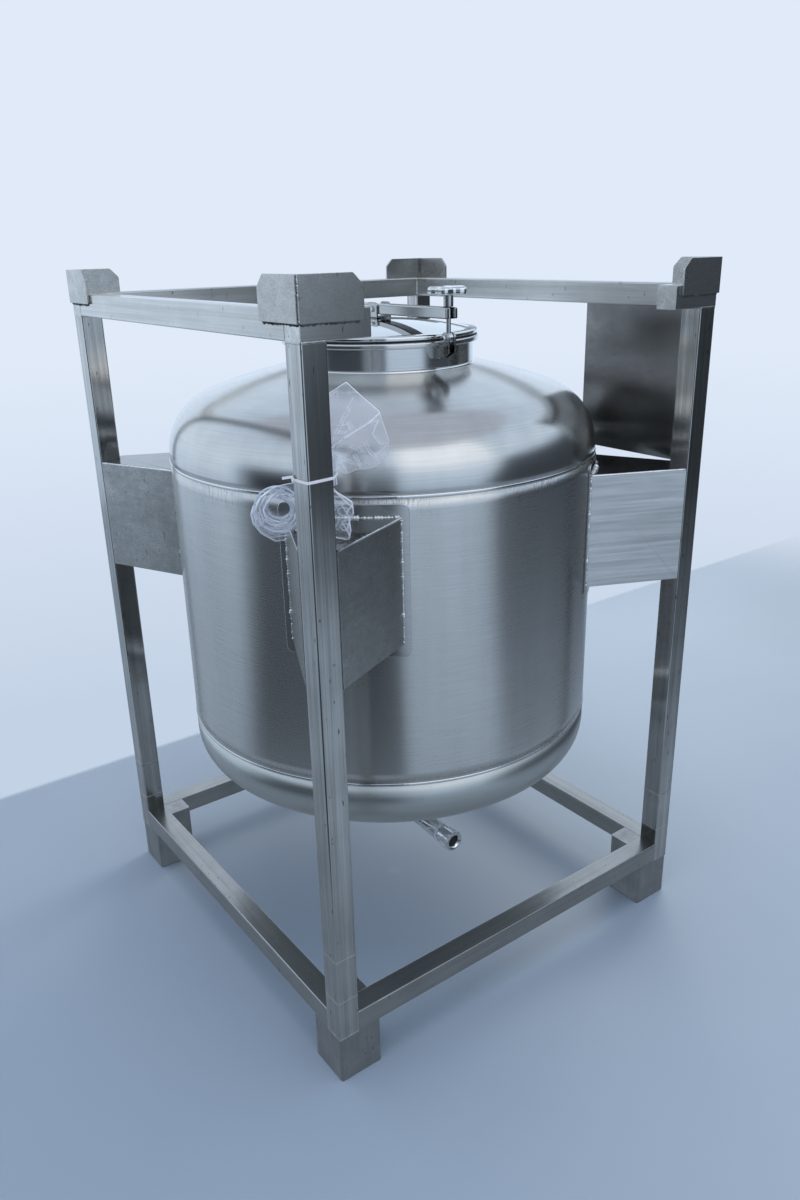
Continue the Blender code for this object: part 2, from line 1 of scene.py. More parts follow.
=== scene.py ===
import json
import math

import bpy
import numpy as np
from mathutils import Matrix, Vector


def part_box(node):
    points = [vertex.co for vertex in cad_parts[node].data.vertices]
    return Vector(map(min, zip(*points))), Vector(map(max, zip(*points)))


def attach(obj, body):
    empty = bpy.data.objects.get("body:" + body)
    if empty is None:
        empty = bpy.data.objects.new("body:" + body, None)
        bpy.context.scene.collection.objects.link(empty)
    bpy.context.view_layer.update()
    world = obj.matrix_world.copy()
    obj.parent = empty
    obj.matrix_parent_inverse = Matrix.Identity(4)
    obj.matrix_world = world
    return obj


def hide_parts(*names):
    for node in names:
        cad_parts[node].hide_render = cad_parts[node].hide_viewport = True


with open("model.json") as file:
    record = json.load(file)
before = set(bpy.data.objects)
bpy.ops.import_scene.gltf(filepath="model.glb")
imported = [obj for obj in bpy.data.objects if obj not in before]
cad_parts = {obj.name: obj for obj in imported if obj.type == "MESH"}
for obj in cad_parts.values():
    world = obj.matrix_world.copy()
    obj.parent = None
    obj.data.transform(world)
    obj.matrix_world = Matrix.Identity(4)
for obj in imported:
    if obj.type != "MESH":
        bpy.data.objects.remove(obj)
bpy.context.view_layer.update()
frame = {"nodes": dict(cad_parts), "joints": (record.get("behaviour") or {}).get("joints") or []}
bpy.context.scene.view_settings.view_transform = "Standard"
corners = {"front_left": (-1, -1), "front_right": (1, -1), "back_left": (-1, 1), "back_right": (1, 1)}
turnTo = {"x": Matrix.Rotation(math.radians(90), 4, "Y"), "y": Matrix.Rotation(math.radians(-90), 4, "X"),
          "z": Matrix.Identity(4)}


# Sizes that several pieces share, all read from the frame

def nodeBox(node):  # lowest and highest corner of a node as arrays
    low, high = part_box(node)
    return np.array(low), np.array(high)


def nodePlan(node):  # the different corners of an upright prism, seen from above
    mesh = frame["nodes"][node].data
    points = np.zeros(len(mesh.vertices) * 3)
    mesh.vertices.foreach_get("co", points)
    return np.unique(np.round(points.reshape(-1, 3)[:, :2], 5), axis=0)


shellLow, shellHigh = nodeBox("shell")
vesselRadius = shellHigh[0]
topSeam, bottomSeam = shellHigh[2], shellLow[2]
neckLow, neckHigh = nodeBox("manway_neck")
lidLow, lidHigh = nodeBox("lid")
armLow, armHigh = nodeBox("clamp_arm")
postLow, postHigh = nodeBox("post_front_left")
postWidth = postHigh[0] - postLow[0]
frameHalf = -postLow[0]
pivot = np.array(frame["joints"][0]["pos_m"])


# Small helpers for colours, nodes and meshes

flatMargin = 0.0006  # flat metal kept beside each rounded edge, so that the flats shade flat


# sRGB to linear: c / 12.92 up to 0.04045, else ((c + 0.055) / 1.055) ^ 2.4, for each channel
def linearColour(hexText, alpha=1.0):
    c = np.array([int(hexText[i:i + 2], 16) for i in (1, 3, 5)]) / 255
    return (*np.where(c <= 0.04045, c / 12.92, ((c + 0.055) / 1.055) ** 2.4).tolist(), alpha)


def addNode(tree, kind, sockets=None, **settings):
    node = tree.nodes.new(kind)
    for name, value in settings.items():
        setattr(node, name, value)
    for name, value in (sockets or {}).items():
        if isinstance(value, bpy.types.NodeSocket):
            tree.links.new(value, node.inputs[name])
        else:
            node.inputs[name].default_value = value
    return node


def newMaterial(name):
    material = bpy.data.materials.new(name)
    material.use_nodes = True
    return material, material.node_tree, material.node_tree.nodes["Principled BSDF"]


def unit(v):
    return v / np.maximum(np.linalg.norm(v, axis=-1, keepdims=True), 1e-12)


# from 0 at -0.5 to 1 at 0.5, as t t (3 - 2 t)
def smoothStep(x):
    t = np.clip(np.asarray(x, float) + 0.5, 0, 1)
    return t * t * (3 - 2 * t)


def rising(x, middle, width):  # a smooth step from 0 to 1
    return smoothStep((x - middle) / width)


def falling(x, middle, width):  # a smooth step from 1 to 0
    return smoothStep((middle - x) / width)


def flipped(faces):  # the same faces, turned round
    return [face[::-1] for face in faces]


# how far along a path each of its points lies, as the sum of the steps before it
def lengthAlong(path):
    return np.concatenate([[0], np.cumsum(np.linalg.norm(np.diff(path, axis=0), axis=1))])


def addObject(name, data):
    thing = bpy.data.objects.new(name, data)
    bpy.context.scene.collection.objects.link(thing)
    return thing


# values for every point of a mesh, which a material reads by their name
def addMarks(mesh, name, values, kind="FLOAT", field="value"):
    layer = mesh.attributes.new(name, kind, "POINT")
    layer.data.foreach_set(field, np.asarray(values, np.float32).ravel())


# Puts arrays into a mesh object. The matrix is worked into the points, so that the object stays at the
# origin. grain is each point's place along, across and through the brushing, and marks are values for the
# material.
def makePiece(name, points, faces, material, body="root", nodes=(), slot=None, grain=None, matrix=None,
              marks=None):
    points = np.asarray(points, float).reshape(-1, 3)
    if matrix is not None:
        m = np.array(matrix)
        points = points @ m[:3, :3].T + m[:3, 3]
    mesh = bpy.data.meshes.new(name)
    mesh.from_pydata(points, [], faces)
    mesh.update()
    mesh.shade_smooth()
    addMarks(mesh, "grain", points if grain is None else grain, "FLOAT_VECTOR", "vector")
    for key, values in (marks or {}).items():
        addMarks(mesh, key, values)
    mesh.materials.append(material)
    piece = addObject(name, mesh)
    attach(piece, body)
    if nodes:
        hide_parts(*nodes)
    return piece


# quads between neighbouring rows of a grid, whose columns close into a ring if asked
def gridFaces(rows, columns, closed=True, loop=False):
    count = columns if closed else columns - 1
    row, column = np.meshgrid(np.arange(rows if loop else rows - 1), np.arange(count), indexing="ij")
    after, below = (column + 1) % columns, (row + 1) % rows
    corner = [row * columns + column, row * columns + after, below * columns + after,
              below * columns + column]
    return np.stack(corner, -1).reshape(-1, 4).tolist()


def endFaces(rows, columns):  # one flat face over the first row and one over the last
    return [list(range(columns))[::-1], list(range((rows - 1) * columns, rows * columns))]


# triangles from the first and the last row to two poles, whose points come after the grid's
def poleFaces(rows, columns):
    column = np.arange(columns)
    after, last, pole = (column + 1) % columns, (rows - 1) * columns, rows * columns
    return (np.stack([np.full(columns, pole), column, after], 1).tolist()
            + np.stack([np.full(columns, pole + 1), last + after, last + column], 1).tolist())


def rectangle(halfWidth, halfHeight):  # corners round the origin, counter-clockwise
    return [(halfWidth, halfHeight), (-halfWidth, halfHeight), (-halfWidth, -halfHeight),
            (halfWidth, -halfHeight)]


# The way to the left at each corner of a closed outline: the sum of the directions of its two edges, turned
# by 90 degrees. It points inwards where the outline runs counter-clockwise.
def leftOf(outline):
    way = unit(np.roll(outline, -1, 0) - outline) + unit(outline - np.roll(outline, 1, 0))
    return unit(np.stack([-way[:, 1], way[:, 0]], 1))


def uprightLine(x, y, low, high, count):  # points on a plumb line
    return np.column_stack([np.full(count, x), np.full(count, y), np.linspace(low, high, count)])


# Every corner becomes an arc that touches both its edges, with one more point a margin along each edge so
# that the flat stretches shade flat. The arc turns its first arm into its last: centre +
# (sin((1 - t) s) first + sin(t s) last) / sin(s), where s is the angle that it sweeps.
def roundedOutline(cornerPoints, radius, steps=6, margin=flatMargin):
    p = np.array(cornerPoints, float)
    radius = np.broadcast_to(np.asarray(radius, float), len(p))[:, None]
    before, after = unit(np.roll(p, 1, 0) - p), unit(np.roll(p, -1, 0) - p)
    half = np.arccos(np.clip((before * after).sum(1, keepdims=True), -1, 1)) / 2
    reach = radius / np.tan(half)
    centre = p + unit(before + after) * radius / np.sin(half)
    first, last = p + before * reach - centre, p + after * reach - centre
    sweep = (math.pi - 2 * half)[:, None]
    t = np.linspace(0, 1, steps + 1)[None, :, None]
    turned = np.sin((1 - t) * sweep) * first[:, None] + np.sin(t * sweep) * last[:, None]
    arcs = centre[:, None] + turned / np.sin(sweep)
    lead, trail = p + before * (reach + margin), p + after * (reach + margin)
    return np.concatenate([lead[:, None], arcs, trail[:, None]], 1).reshape(-1, 2)


# A flat outline with thickness and rounded rims. Ring by ring it is the outline drawn in by edge (1 - cos a)
# at the height half - edge (1 - sin a), for a from 0 to 90 degrees, on both sides.
def slab(name, outline, thickness, edge, material, matrix, grainAxis="x", **place):
    outline = np.asarray(outline, float)
    inward = leftOf(outline)
    area = np.sum(outline[:, 0] * np.roll(outline[:, 1], -1) - np.roll(outline[:, 0], -1) * outline[:, 1])
    if area < 0:
        outline, inward = outline[::-1], -inward[::-1]
    a = np.linspace(0, math.pi / 2, 5)
    inset = np.concatenate([edge * (1 - np.cos(a)), [edge + flatMargin]])
    height = np.concatenate([thickness / 2 - edge * (1 - np.sin(a)), [thickness / 2]])
    side = thickness / 2 - edge - flatMargin
    inset = np.concatenate([inset[::-1], [0, 0], inset])
    height = np.concatenate([-height[::-1], [-side, side], height])
    flat = outline[None] + inward[None] * inset[:, None, None]
    points = np.concatenate([flat, np.broadcast_to(height[:, None, None], (*flat.shape[:2], 1))], 2)
    faces = gridFaces(*flat.shape[:2]) + endFaces(*flat.shape[:2])
    points = points.reshape(-1, 3)
    order = {"x": [0, 1, 2], "y": [1, 0, 2], "z": [2, 0, 1]}[grainAxis]
    return makePiece(name, points, faces, material, grain=points[:, order], matrix=matrix, **place)


# A profile of (radius, height) points turned about local Z: (r cos t, r sin t, z). It runs down its outer
# side. A point on the axis closes it with a pole, and a profile with none closes on itself.
def turnedSurface(name, profile, material, steps=128, matrix=None, **place):
    profile = np.asarray(profile, float)
    poles = profile[0, 0] < 1e-9
    ring = profile[1:-1] if poles else profile
    t = np.linspace(0, 2 * math.pi, steps, endpoint=False)
    radius, height = ring[:, :1], ring[:, 1:]
    points = np.stack(np.broadcast_arrays(radius * np.cos(t), radius * np.sin(t), height), -1)
    length = lengthAlong(ring)
    along = np.broadcast_to(length[:, None], points.shape[:2])
    grain = np.stack([points[..., 0], points[..., 1], along], -1).reshape(-1, 3)
    points = points.reshape(-1, 3)
    # the rows run down the outer side, so the quads are turned round to face out
    faces = flipped(gridFaces(len(ring), steps, loop=not poles))
    if poles:
        points = np.concatenate([points, [[0, 0, profile[0, 1]], [0, 0, profile[-1, 1]]]])
        grain = np.concatenate([grain, [[0, 0, 0], [0, 0, length[-1]]]])
        faces += poleFaces(len(ring), steps)
    return makePiece(name, points, faces, material, grain=grain, matrix=matrix, **place)


# an open profile of straight runs whose inner corners are arcs
def smoothProfile(cornerPoints, radii, steps=6):
    p = np.array(cornerPoints, float)
    rounded = roundedOutline(p, np.maximum(np.broadcast_to(radii, len(p)), 1e-5), steps, margin=0.0004)
    rounded = rounded.reshape(len(p), steps + 3, 2)
    return np.concatenate([p[:1], rounded[1:-1].reshape(-1, 2), p[-1:]])


def arcPoints(centre, radius, start, end, steps):
    a = np.radians(np.linspace(start, end, steps + 1))
    return np.stack([centre[0] + radius * np.cos(a), centre[1] + radius * np.sin(a)], 1)


# count points spread evenly along a closed outline
def evenOutline(outline, count):
    closed = np.concatenate([outline, outline[:1]])
    along = lengthAlong(closed)
    at = np.linspace(0, along[-1], count, endpoint=False)
    return np.column_stack([np.interp(at, along, closed[:, k]) for k in (0, 1)])


def circle(count):  # directions round Z
    t = np.linspace(0, 2 * math.pi, count, endpoint=False)
    return np.column_stack([np.cos(t), np.sin(t), np.zeros(count)])


beadShape = {"around": 12, "rowsPerRipple": 4, "knots": 40, "wander": 0.6}


# A weld bead: a half-sunk ellipse carried along a path, with its crown along the outward normals. Its size is
# 1 + ripple (sawtooth of length / pitch) + a slow wander, so that it shows the pool's overlapping ripples,
# and at both ends of an open path it shrinks to a point as sqrt(1 - u^2).
def bead(name, path, outward, material, width, height, ripple=0.15, pitch=0.003, closed=False, seed=1,
         **place):
    path, outward = np.asarray(path, float), unit(np.broadcast_to(np.asarray(outward, float), np.shape(path)))
    loop = np.concatenate([path, path[:1]]) if closed else path
    ways = np.concatenate([outward, outward[:1]]) if closed else outward
    length = lengthAlong(loop)
    count = max(8, int(length[-1] / pitch * beadShape["rowsPerRipple"]))
    s = np.linspace(0, length[-1], count, endpoint=not closed)
    line = np.stack([np.interp(s, length, loop[:, i]) for i in range(3)], 1)
    out = unit(np.stack([np.interp(s, length, ways[:, i]) for i in range(3)], 1))
    along = unit(np.roll(line, -1, 0) - np.roll(line, 1, 0)) if closed else unit(np.gradient(line, axis=0))
    across = unit(np.cross(along, out))
    knots = np.random.default_rng(seed).normal(size=beadShape["knots"])
    knots[-1] = knots[0]
    wander = np.interp(s, np.linspace(0, length[-1], len(knots)), knots)
    size = 1 + ripple * ((s / pitch) % 1 - 0.5) + beadShape["wander"] * ripple * wander
    if not closed:
        fromEnd = np.minimum(np.minimum(s, s[-1] - s) / (width / 2), 1)
        size = size * np.sqrt(np.clip(1 - (1 - fromEnd) ** 2, 1e-4, 1))
    a = np.linspace(0, 2 * math.pi, beadShape["around"], endpoint=False)
    points = (line[:, None] + across[:, None] * (width / 2 * size)[:, None, None] * np.cos(a)[None, :, None]
              + out[:, None] * (height * size)[:, None, None] * np.sin(a)[None, :, None])
    faces = gridFaces(*points.shape[:2], loop=closed)
    if not closed:
        faces += endFaces(*points.shape[:2])
    return makePiece(name, points, faces, material, **place)


# Materials

# Marks on the steel, each from a noise on Object coordinates that is stretched and scaled, showing between
# two levels of that noise: small upright scars, and the crossed marks of a hand-held disc, which come in
# patches. Faces that look down are darkened as painted shade, between two values of the face's upward
# direction.
scars = {"stretch": (1, 1, 0.3), "scale": 150.0, "levels": (0.735, 0.775), "colour": "#3A3936"}
grinding = {"stretch": (1, 1, 0.15), "scale": 330.0, "levels": (0.5, 0.64), "depth": 0.45, "patchScale": 9.0,
            "patchLevels": (0.44, 0.6), "colour": "#4C4B49"}
tarnish = {"levels": (-0.05, -0.5), "colour": "#2A2A2B"}


# Stainless steel. On the grain, a fine and a broad stretched noise give the brushing and the sheet's long
# streaks, in colour, roughness and bump; a noise on Object coordinates gives the handling marks. smear
# stretches the reflections across the brushing.
def steel(name, look):
    material, tree, shader = newMaterial(name)
    grain = addNode(tree, "ShaderNodeAttribute", attribute_name="grain").outputs["Vector"]
    place = addNode(tree, "ShaderNodeTexCoord").outputs["Object"]
    noises = []
    for scale, detail in ((look["fine"], 3.0), (look["broad"], 2.0)):
        stretched = addNode(tree, "ShaderNodeVectorMath", {0: grain, 1: scale}, operation="MULTIPLY")
        noise = addNode(tree, "ShaderNodeTexNoise", {"Vector": stretched.outputs[0], "Scale": 1.0,
                                                     "Detail": detail, "Roughness": 0.6})
        noises.append(noise.outputs["Fac"])
    noise = addNode(tree, "ShaderNodeTexNoise", {"Vector": place, "Scale": look["cloud"], "Detail": 4.0,
                                                 "Roughness": 0.55})
    noises.append(noise.outputs["Fac"])
    # the shares of the three noises, which lie round 0.5, are added up into one tone round 0
    total = None
    for noise, share in zip(noises, look["shares"]):
        term = addNode(tree, "ShaderNodeMath", {0: noise, 1: 0.5}, operation="SUBTRACT").outputs[0]
        term = addNode(tree, "ShaderNodeMath", {0: term, 1: share}, operation="MULTIPLY").outputs[0]
        if total is not None:
            term = addNode(tree, "ShaderNodeMath", {0: total, 1: term}, operation="ADD").outputs[0]
        total = term
    tone = addNode(tree, "ShaderNodeMapRange", {"Value": total, "From Min": -1.0, "From Max": 1.0})
    colour = addNode(tree, "ShaderNodeMix", {0: tone.outputs[0], 6: linearColour(look["dark"]),
                                             7: linearColour(look["light"])}, data_type="RGBA").outputs[2]
    # the real marks, and the painted shade on faces that look down, each with its strength and colour
    stains = []  # how strongly each kind of mark covers the metal, and its colour
    if look.get("pits"):
        long = addNode(tree, "ShaderNodeVectorMath", {0: place, 1: scars["stretch"]}, operation="MULTIPLY")
        scar = addNode(tree, "ShaderNodeTexNoise", {"Vector": long.outputs[0], "Scale": scars["scale"],
                                                    "Detail": 1.0})
        low, high = scars["levels"]
        deep = addNode(tree, "ShaderNodeMapRange", {"Value": scar.outputs["Fac"], "From Min": low,
                                                    "From Max": high, "To Max": look["pits"]})
        stains.append((deep, scars["colour"]))
    if "dressed" in look:  # disc marks in a band under a seam, thinning out away from it
        level, height = look["dressed"]
        parts = addNode(tree, "ShaderNodeSeparateXYZ", {"Vector": place})
        near = addNode(tree, "ShaderNodeMapRange", {"Value": parts.outputs["Z"], "From Min": level - height,
                                                    "From Max": level})
        long = addNode(tree, "ShaderNodeVectorMath", {0: place, 1: grinding["stretch"]}, operation="MULTIPLY")
        mark = addNode(tree, "ShaderNodeTexNoise", {"Vector": long.outputs[0], "Scale": grinding["scale"],
                                                    "Detail": 2.0})
        patch = addNode(tree, "ShaderNodeTexNoise", {"Vector": place, "Scale": grinding["patchScale"],
                                                     "Detail": 2.0})
        low, high = grinding["patchLevels"]
        here = addNode(tree, "ShaderNodeMapRange", {"Value": patch.outputs["Fac"], "From Min": low,
                                                    "From Max": high})
        low, high = grinding["levels"]
        cut = addNode(tree, "ShaderNodeMapRange", {"Value": mark.outputs["Fac"], "From Min": low,
                                                   "From Max": high, "To Max": grinding["depth"]})
        for factor in (near, here):
            cut = addNode(tree, "ShaderNodeMath", {0: cut.outputs[0], 1: factor.outputs[0]},
                          operation="MULTIPLY")
        stains.append((cut, grinding["colour"]))
    # painted shade: faces that look down are darkened towards a dark grey
    if "under" in look:
        normal = addNode(tree, "ShaderNodeNewGeometry").outputs["Normal"]
        facing = addNode(tree, "ShaderNodeSeparateXYZ", {"Vector": normal})
        low, high = tarnish["levels"]
        below = addNode(tree, "ShaderNodeMapRange", {"Value": facing.outputs["Z"], "From Min": low,
                                                     "From Max": high, "To Max": look["under"]})
        stains.append((below, tarnish["colour"]))
    for strength, tint in stains:
        colour = addNode(tree, "ShaderNodeMix", {0: strength.outputs[0], 6: colour, 7: linearColour(tint)},
                         data_type="RGBA").outputs[2]
    sheen = addNode(tree, "ShaderNodeMapRange", {"Value": total, "From Min": -1.0, "From Max": 1.0,
                                                 "To Min": look["roughness"] + look["spread"],
                                                 "To Max": look["roughness"] - look["spread"]})
    bump = addNode(tree, "ShaderNodeBump", {"Height": noises[0], "Strength": look["bump"],
                                            "Distance": 0.0004})
    wave = addNode(tree, "ShaderNodeBump", {"Height": noises[2], "Strength": look["wave"], "Distance": 0.004,
                                            "Normal": bump.outputs[0]})
    tree.links.new(colour, shader.inputs["Base Color"])
    tree.links.new(sheen.outputs[0], shader.inputs["Roughness"])
    tree.links.new(wave.outputs[0], shader.inputs["Normal"])
    shader.inputs["Metallic"].default_value = 1.0
    if "smear" in look:
        shader.inputs["Anisotropic"].default_value = look["smear"]
        shader.inputs["Anisotropic Rotation"].default_value = look["turn"]
        tangent = addNode(tree, "ShaderNodeTangent", direction_type="RADIAL", axis="Z")
        tree.links.new(tangent.outputs[0], shader.inputs["Tangent"])
    return material


# 304 sheet, brushed round the vessel with a belt: reflections smear up and down into soft upright bands, with
# hairlines 2 to 3 mm apart, drawn coarser than the real grit so that they show
vesselLook = {"fine": (9, 9, 300), "broad": (15, 15, 1.2), "cloud": 5.0, "shares": (0.8, 0.8, 0.4),
              "dark": "#A9A8A5", "light": "#E2E1DE", "roughness": 0.27, "spread": 0.03, "bump": 0.0015,
              "wave": 0.03, "smear": 0.8, "turn": 0.25}
# the same sheet pressed to a dish and brushed finer, so that the knuckle's highlights are sharper
headLook = {**vesselLook, "fine": (6, 6, 300), "roughness": 0.21, "spread": 0.04, "smear": 0.5}
# square tube linished along its length: long fine streaks of light and dark, and fairly sharp reflections
# with a slight smear
postLook = {"fine": (3, 330, 330), "broad": (1.2, 75, 75), "cloud": 9.0, "shares": (1.6, 1.7, 1.1),
            "dark": "#807E7A", "light": "#D6D5D1", "roughness": 0.16, "spread": 0.05, "bump": 0.08,
            "wave": 0.05, "smear": 0.3, "turn": 0.0, "pits": 0.75}
# the upper rails were linished with a coarser belt, so that they are paler and smear more
railLook = {**postLook, "roughness": 0.25, "smear": 0.6, "turn": 0.25, "dark": "#A09F9B", "light": "#DCDBD7"}
# the lower rails are darker from boots and straps, with less streaking
lowRailLook = {**railLook, "shares": (0.9, 0.9, 1.0), "dark": "#807F7C", "light": "#BDBCB8"}
# the feet are the same tube, smudged and stained from the floor and the fork
footLook = {**postLook, "roughness": 0.30, "cloud": 22.0, "shares": (1.0, 1.0, 1.6), "dark": "#7A7977",
            "light": "#B6B5B2"}
# hot rolled plate, pickled and lightly ground: a dull skin with an even fine mottle
plateLook = {"fine": (190, 330, 330), "broad": (35, 60, 60), "cloud": 12.0, "shares": (1.7, 1.1, 1.4),
             "dark": "#8E8D89", "light": "#CFCECA", "roughness": 0.29, "spread": 0.07, "bump": 0.12,
             "wave": 0.06, "pits": 0.6}
# plate dressed by hand with a coarse disc: broad bright and dark lines across it
groundLook = {**plateLook, "fine": (5, 130, 130), "broad": (2, 45, 45), "shares": (2.0, 1.5, 0.5),
              "bump": 0.45, "dark": "#A2A19F", "light": "#E4E3E1", "roughness": 0.32, "spread": 0.12,
              "pits": 0.0}
# cold rolled plate, as on the brackets' covers: an even, almost mirror-like skin, with its colour darkened
# as painted shade so that the covers show dark
brightLook = {**plateLook, "roughness": 0.12, "spread": 0.03, "bump": 0.03, "dark": "#6A6A6B",
              "light": "#8E8E8F", "pits": 0.0}
# the bare plate: darker sheet from another batch, smoothly rolled
panelLook = {**plateLook, "roughness": 0.22, "spread": 0.05, "bump": 0.04, "dark": "#737270",
             "light": "#9B9A98", "pits": 0.3}
# the bottom end, left as pickled: an even matt grey
bottomLook = {**plateLook, "fine": (6, 6, 260), "broad": (14, 14, 20), "cloud": 8.0,
              "shares": (0.7, 0.6, 0.5), "dark": "#A9ABA8", "light": "#CDCFCC", "roughness": 0.36,
              "spread": 0.04, "bump": 0.03, "pits": 0.2}
# fittings polished to a mirror
mirrorLook = {"fine": (20, 20, 300), "broad": (8, 8, 60), "cloud": 12.0, "shares": (0.8, 0.6, 0.6),
              "dark": "#CFCFCE", "light": "#E6E6E5", "roughness": 0.06, "spread": 0.02, "bump": 0.02,
              "wave": 0.02}
# cast and machined parts of the clamp, satin and a little darker, with painted shade on their faces that look
# down
clampLook = {**mirrorLook, "roughness": 0.13, "dark": "#9A9A98", "light": "#C8C8C6", "under": 0.9}
# the neck's rolled sheet, polished with a fine belt round it
neckLook = {**mirrorLook, "roughness": 0.20, "spread": 0.05, "fine": (3, 3, 400), "shares": (1.2, 0.6, 0.6),
            "dark": "#B5B5B3", "light": "#DFDFDD", "smear": 0.7, "turn": 0.25}
# weld metal as it froze, wire brushed: bright crests and darker toes
weldLook = {"fine": (300, 300, 300), "broad": (60, 60, 60), "cloud": 40.0, "shares": (0.8, 1.2, 0.8),
            "dark": "#74726D", "light": "#E4E3E0", "roughness": 0.26, "spread": 0.10, "bump": 0.30,
            "wave": 0.15}
# bright silvery stitches of a fresh weld, and weld metal drawn nearly black as painted shade and shadow in
# and under the lugs
stitchLook = {**weldLook, "shares": (0.5, 0.6, 0.4), "dark": "#DCDCDB", "light": "#FAFAF9", "roughness": 0.30,
              "spread": 0.04}
scorchedLook = {**weldLook, "shares": (0.8, 2.2, 1.2), "dark": "#161514", "light": "#8D8B87",
                "roughness": 0.38}

# the shell has a band of disc marks that reaches 50 mm down from the top seam's bead
vesselSteel = steel("beltBrushedVesselSteel", {**vesselLook, "dressed": (topSeam - 0.004, 0.05)})
headSteel = steel("beltBrushedHeadSteel", headLook)
postSteel = steel("linishedPostSteel", postLook)
footSteel = steel("smudgedFootSteel", footLook)
railSteel = steel("linishedRailSteel", railLook)
lowRailSteel = steel("wornRailSteel", lowRailLook)
plateSteel = steel("pickledPlateSteel", plateLook)
groundSteel = steel("discGroundSteel", groundLook)
brightSteel = steel("coldRolledSteelPaintedShade", brightLook)
panelSteel = steel("rolledPanelSteel", panelLook)
bottomSteel = steel("pickledHeadSteel", bottomLook)
mirrorSteel = steel("mirrorPolishedSteel", mirrorLook)
clampSteel = steel("satinClampSteel", clampLook)
neckSteel = steel("beltPolishedNeckSteel", neckLook)
weldSteel = steel("wireBrushedWeldMetal", weldLook)
stitchSteel = steel("freshWeldMetal", stitchLook)
scorchedSteel = steel("weldMetalPaintedShade", scorchedLook)


# A moulded rubber or plastic: a cloudy noise on Object coordinates blends two shades, and may give a fine
# grit
def moulded(name, look):
    material, tree, shader = newMaterial(name)
    place = addNode(tree, "ShaderNodeTexCoord")
    cloud = addNode(tree, "ShaderNodeTexNoise", {"Vector": place.outputs["Object"], "Scale": look["scale"]})
    tone = addNode(tree, "ShaderNodeMix", {0: cloud.outputs["Fac"], 6: linearColour(look["dark"]),
                                           7: linearColour(look["light"])}, data_type="RGBA")
    tree.links.new(tone.outputs[2], shader.inputs["Base Color"])
    shader.inputs["Roughness"].default_value = look["roughness"]
    shader.inputs["Alpha"].default_value = look["alpha"]
    if "grit" in look:
        bump = addNode(tree, "ShaderNodeBump", {"Height": cloud.outputs["Fac"], "Strength": look["grit"],
                                                "Distance": 0.0002})
        tree.links.new(bump.outputs[0], shader.inputs["Normal"])
    return material


# moulded black rubber: matt, with a fine grit
rubberLook = {"scale": 900.0, "dark": "#131314", "light": "#262627", "roughness": 0.62, "alpha": 1.0,
              "grit": 0.2}
# moulded natural nylon: milky white
nylonLook = {"scale": 120.0, "dark": "#EDEDEB", "light": "#FAFAFA", "roughness": 0.35, "alpha": 1.0}
# translucent silicone of the spare rings: cloudy white and waxy
siliconeLook = {"scale": 200.0, "dark": "#C6D0DF", "light": "#E2E8F1", "roughness": 0.3, "alpha": 0.8}
# blown polyethylene film, 0.05 mm: nearly clear where it lies flat, milky along its creases and where it is
# seen along, with small sharp glints
filmLook = {"colour": "#EFF3F9", "roughness": 0.18, "rim": 0.30, "rimWidth": 0.25, "creaseScale": 90.0,
            "creaseTwist": 1.2, "bump": 0.6}


# the film's alpha is cover, which each piece works out for its creases, plus the rim's share
def filmMaterial(look):
    material, tree, shader = newMaterial("polyethyleneFilm")
    cover = addNode(tree, "ShaderNodeAttribute", attribute_name="cover")
    edge = addNode(tree, "ShaderNodeLayerWeight", {"Blend": look["rimWidth"]})
    place = addNode(tree, "ShaderNodeTexCoord")
    crease = addNode(tree, "ShaderNodeTexNoise", {"Vector": place.outputs["Object"],
                                                  "Scale": look["creaseScale"], "Detail": 3.0,
                                                  "Distortion": look["creaseTwist"]})
    bump = addNode(tree, "ShaderNodeBump", {"Height": crease.outputs["Fac"], "Strength": look["bump"],
                                            "Distance": 0.002})
    rim = addNode(tree, "ShaderNodeMath", {0: edge.outputs["Facing"], 1: look["rim"]}, operation="MULTIPLY")
    opacity = addNode(tree, "ShaderNodeMath", {0: cover.outputs["Fac"], 1: rim.outputs[0]}, operation="ADD",
                      use_clamp=True)
    tree.links.new(opacity.outputs[0], shader.inputs["Alpha"])
    tree.links.new(bump.outputs[0], shader.inputs["Normal"])
    shader.inputs["Base Color"].default_value = linearColour(look["colour"])
    shader.inputs["Roughness"].default_value = look["roughness"]
    return material


rubber, nylon = moulded("mouldedRubber", rubberLook), moulded("naturalNylon", nylonLook)
silicone, film = moulded("translucentSilicone", siliconeLook), filmMaterial(filmLook)
print("materials made")


# Camera, floor and light

view = {"place": (-1.3086, -1.8455, 1.6687), "heading": 36.16, "fall": 20.57, "roll": -1.337, "lens": 28.405,
        "sensor": 36}


def makeCamera():
    data = bpy.data.cameras.new("camera")
    data.lens, data.sensor_width = view["lens"], view["sensor"]
    camera = addObject("camera", data)
    heading, fall, roll = (math.radians(view[k]) for k in ("heading", "fall", "roll"))
    forward = Vector((math.sin(heading) * math.cos(fall), math.cos(heading) * math.cos(fall),
                      -math.sin(fall)))
    right = forward.cross(Vector((0, 0, 1))).normalized()
    up = right.cross(forward)
    right, up = math.cos(roll) * right + math.sin(roll) * up, math.cos(roll) * up - math.sin(roll) * right
    turned = Matrix((right, up, -forward)).transposed().to_4x4()
    camera.matrix_world = Matrix.Translation(view["place"]) @ turned
    bpy.context.scene.camera = camera


makeCamera()

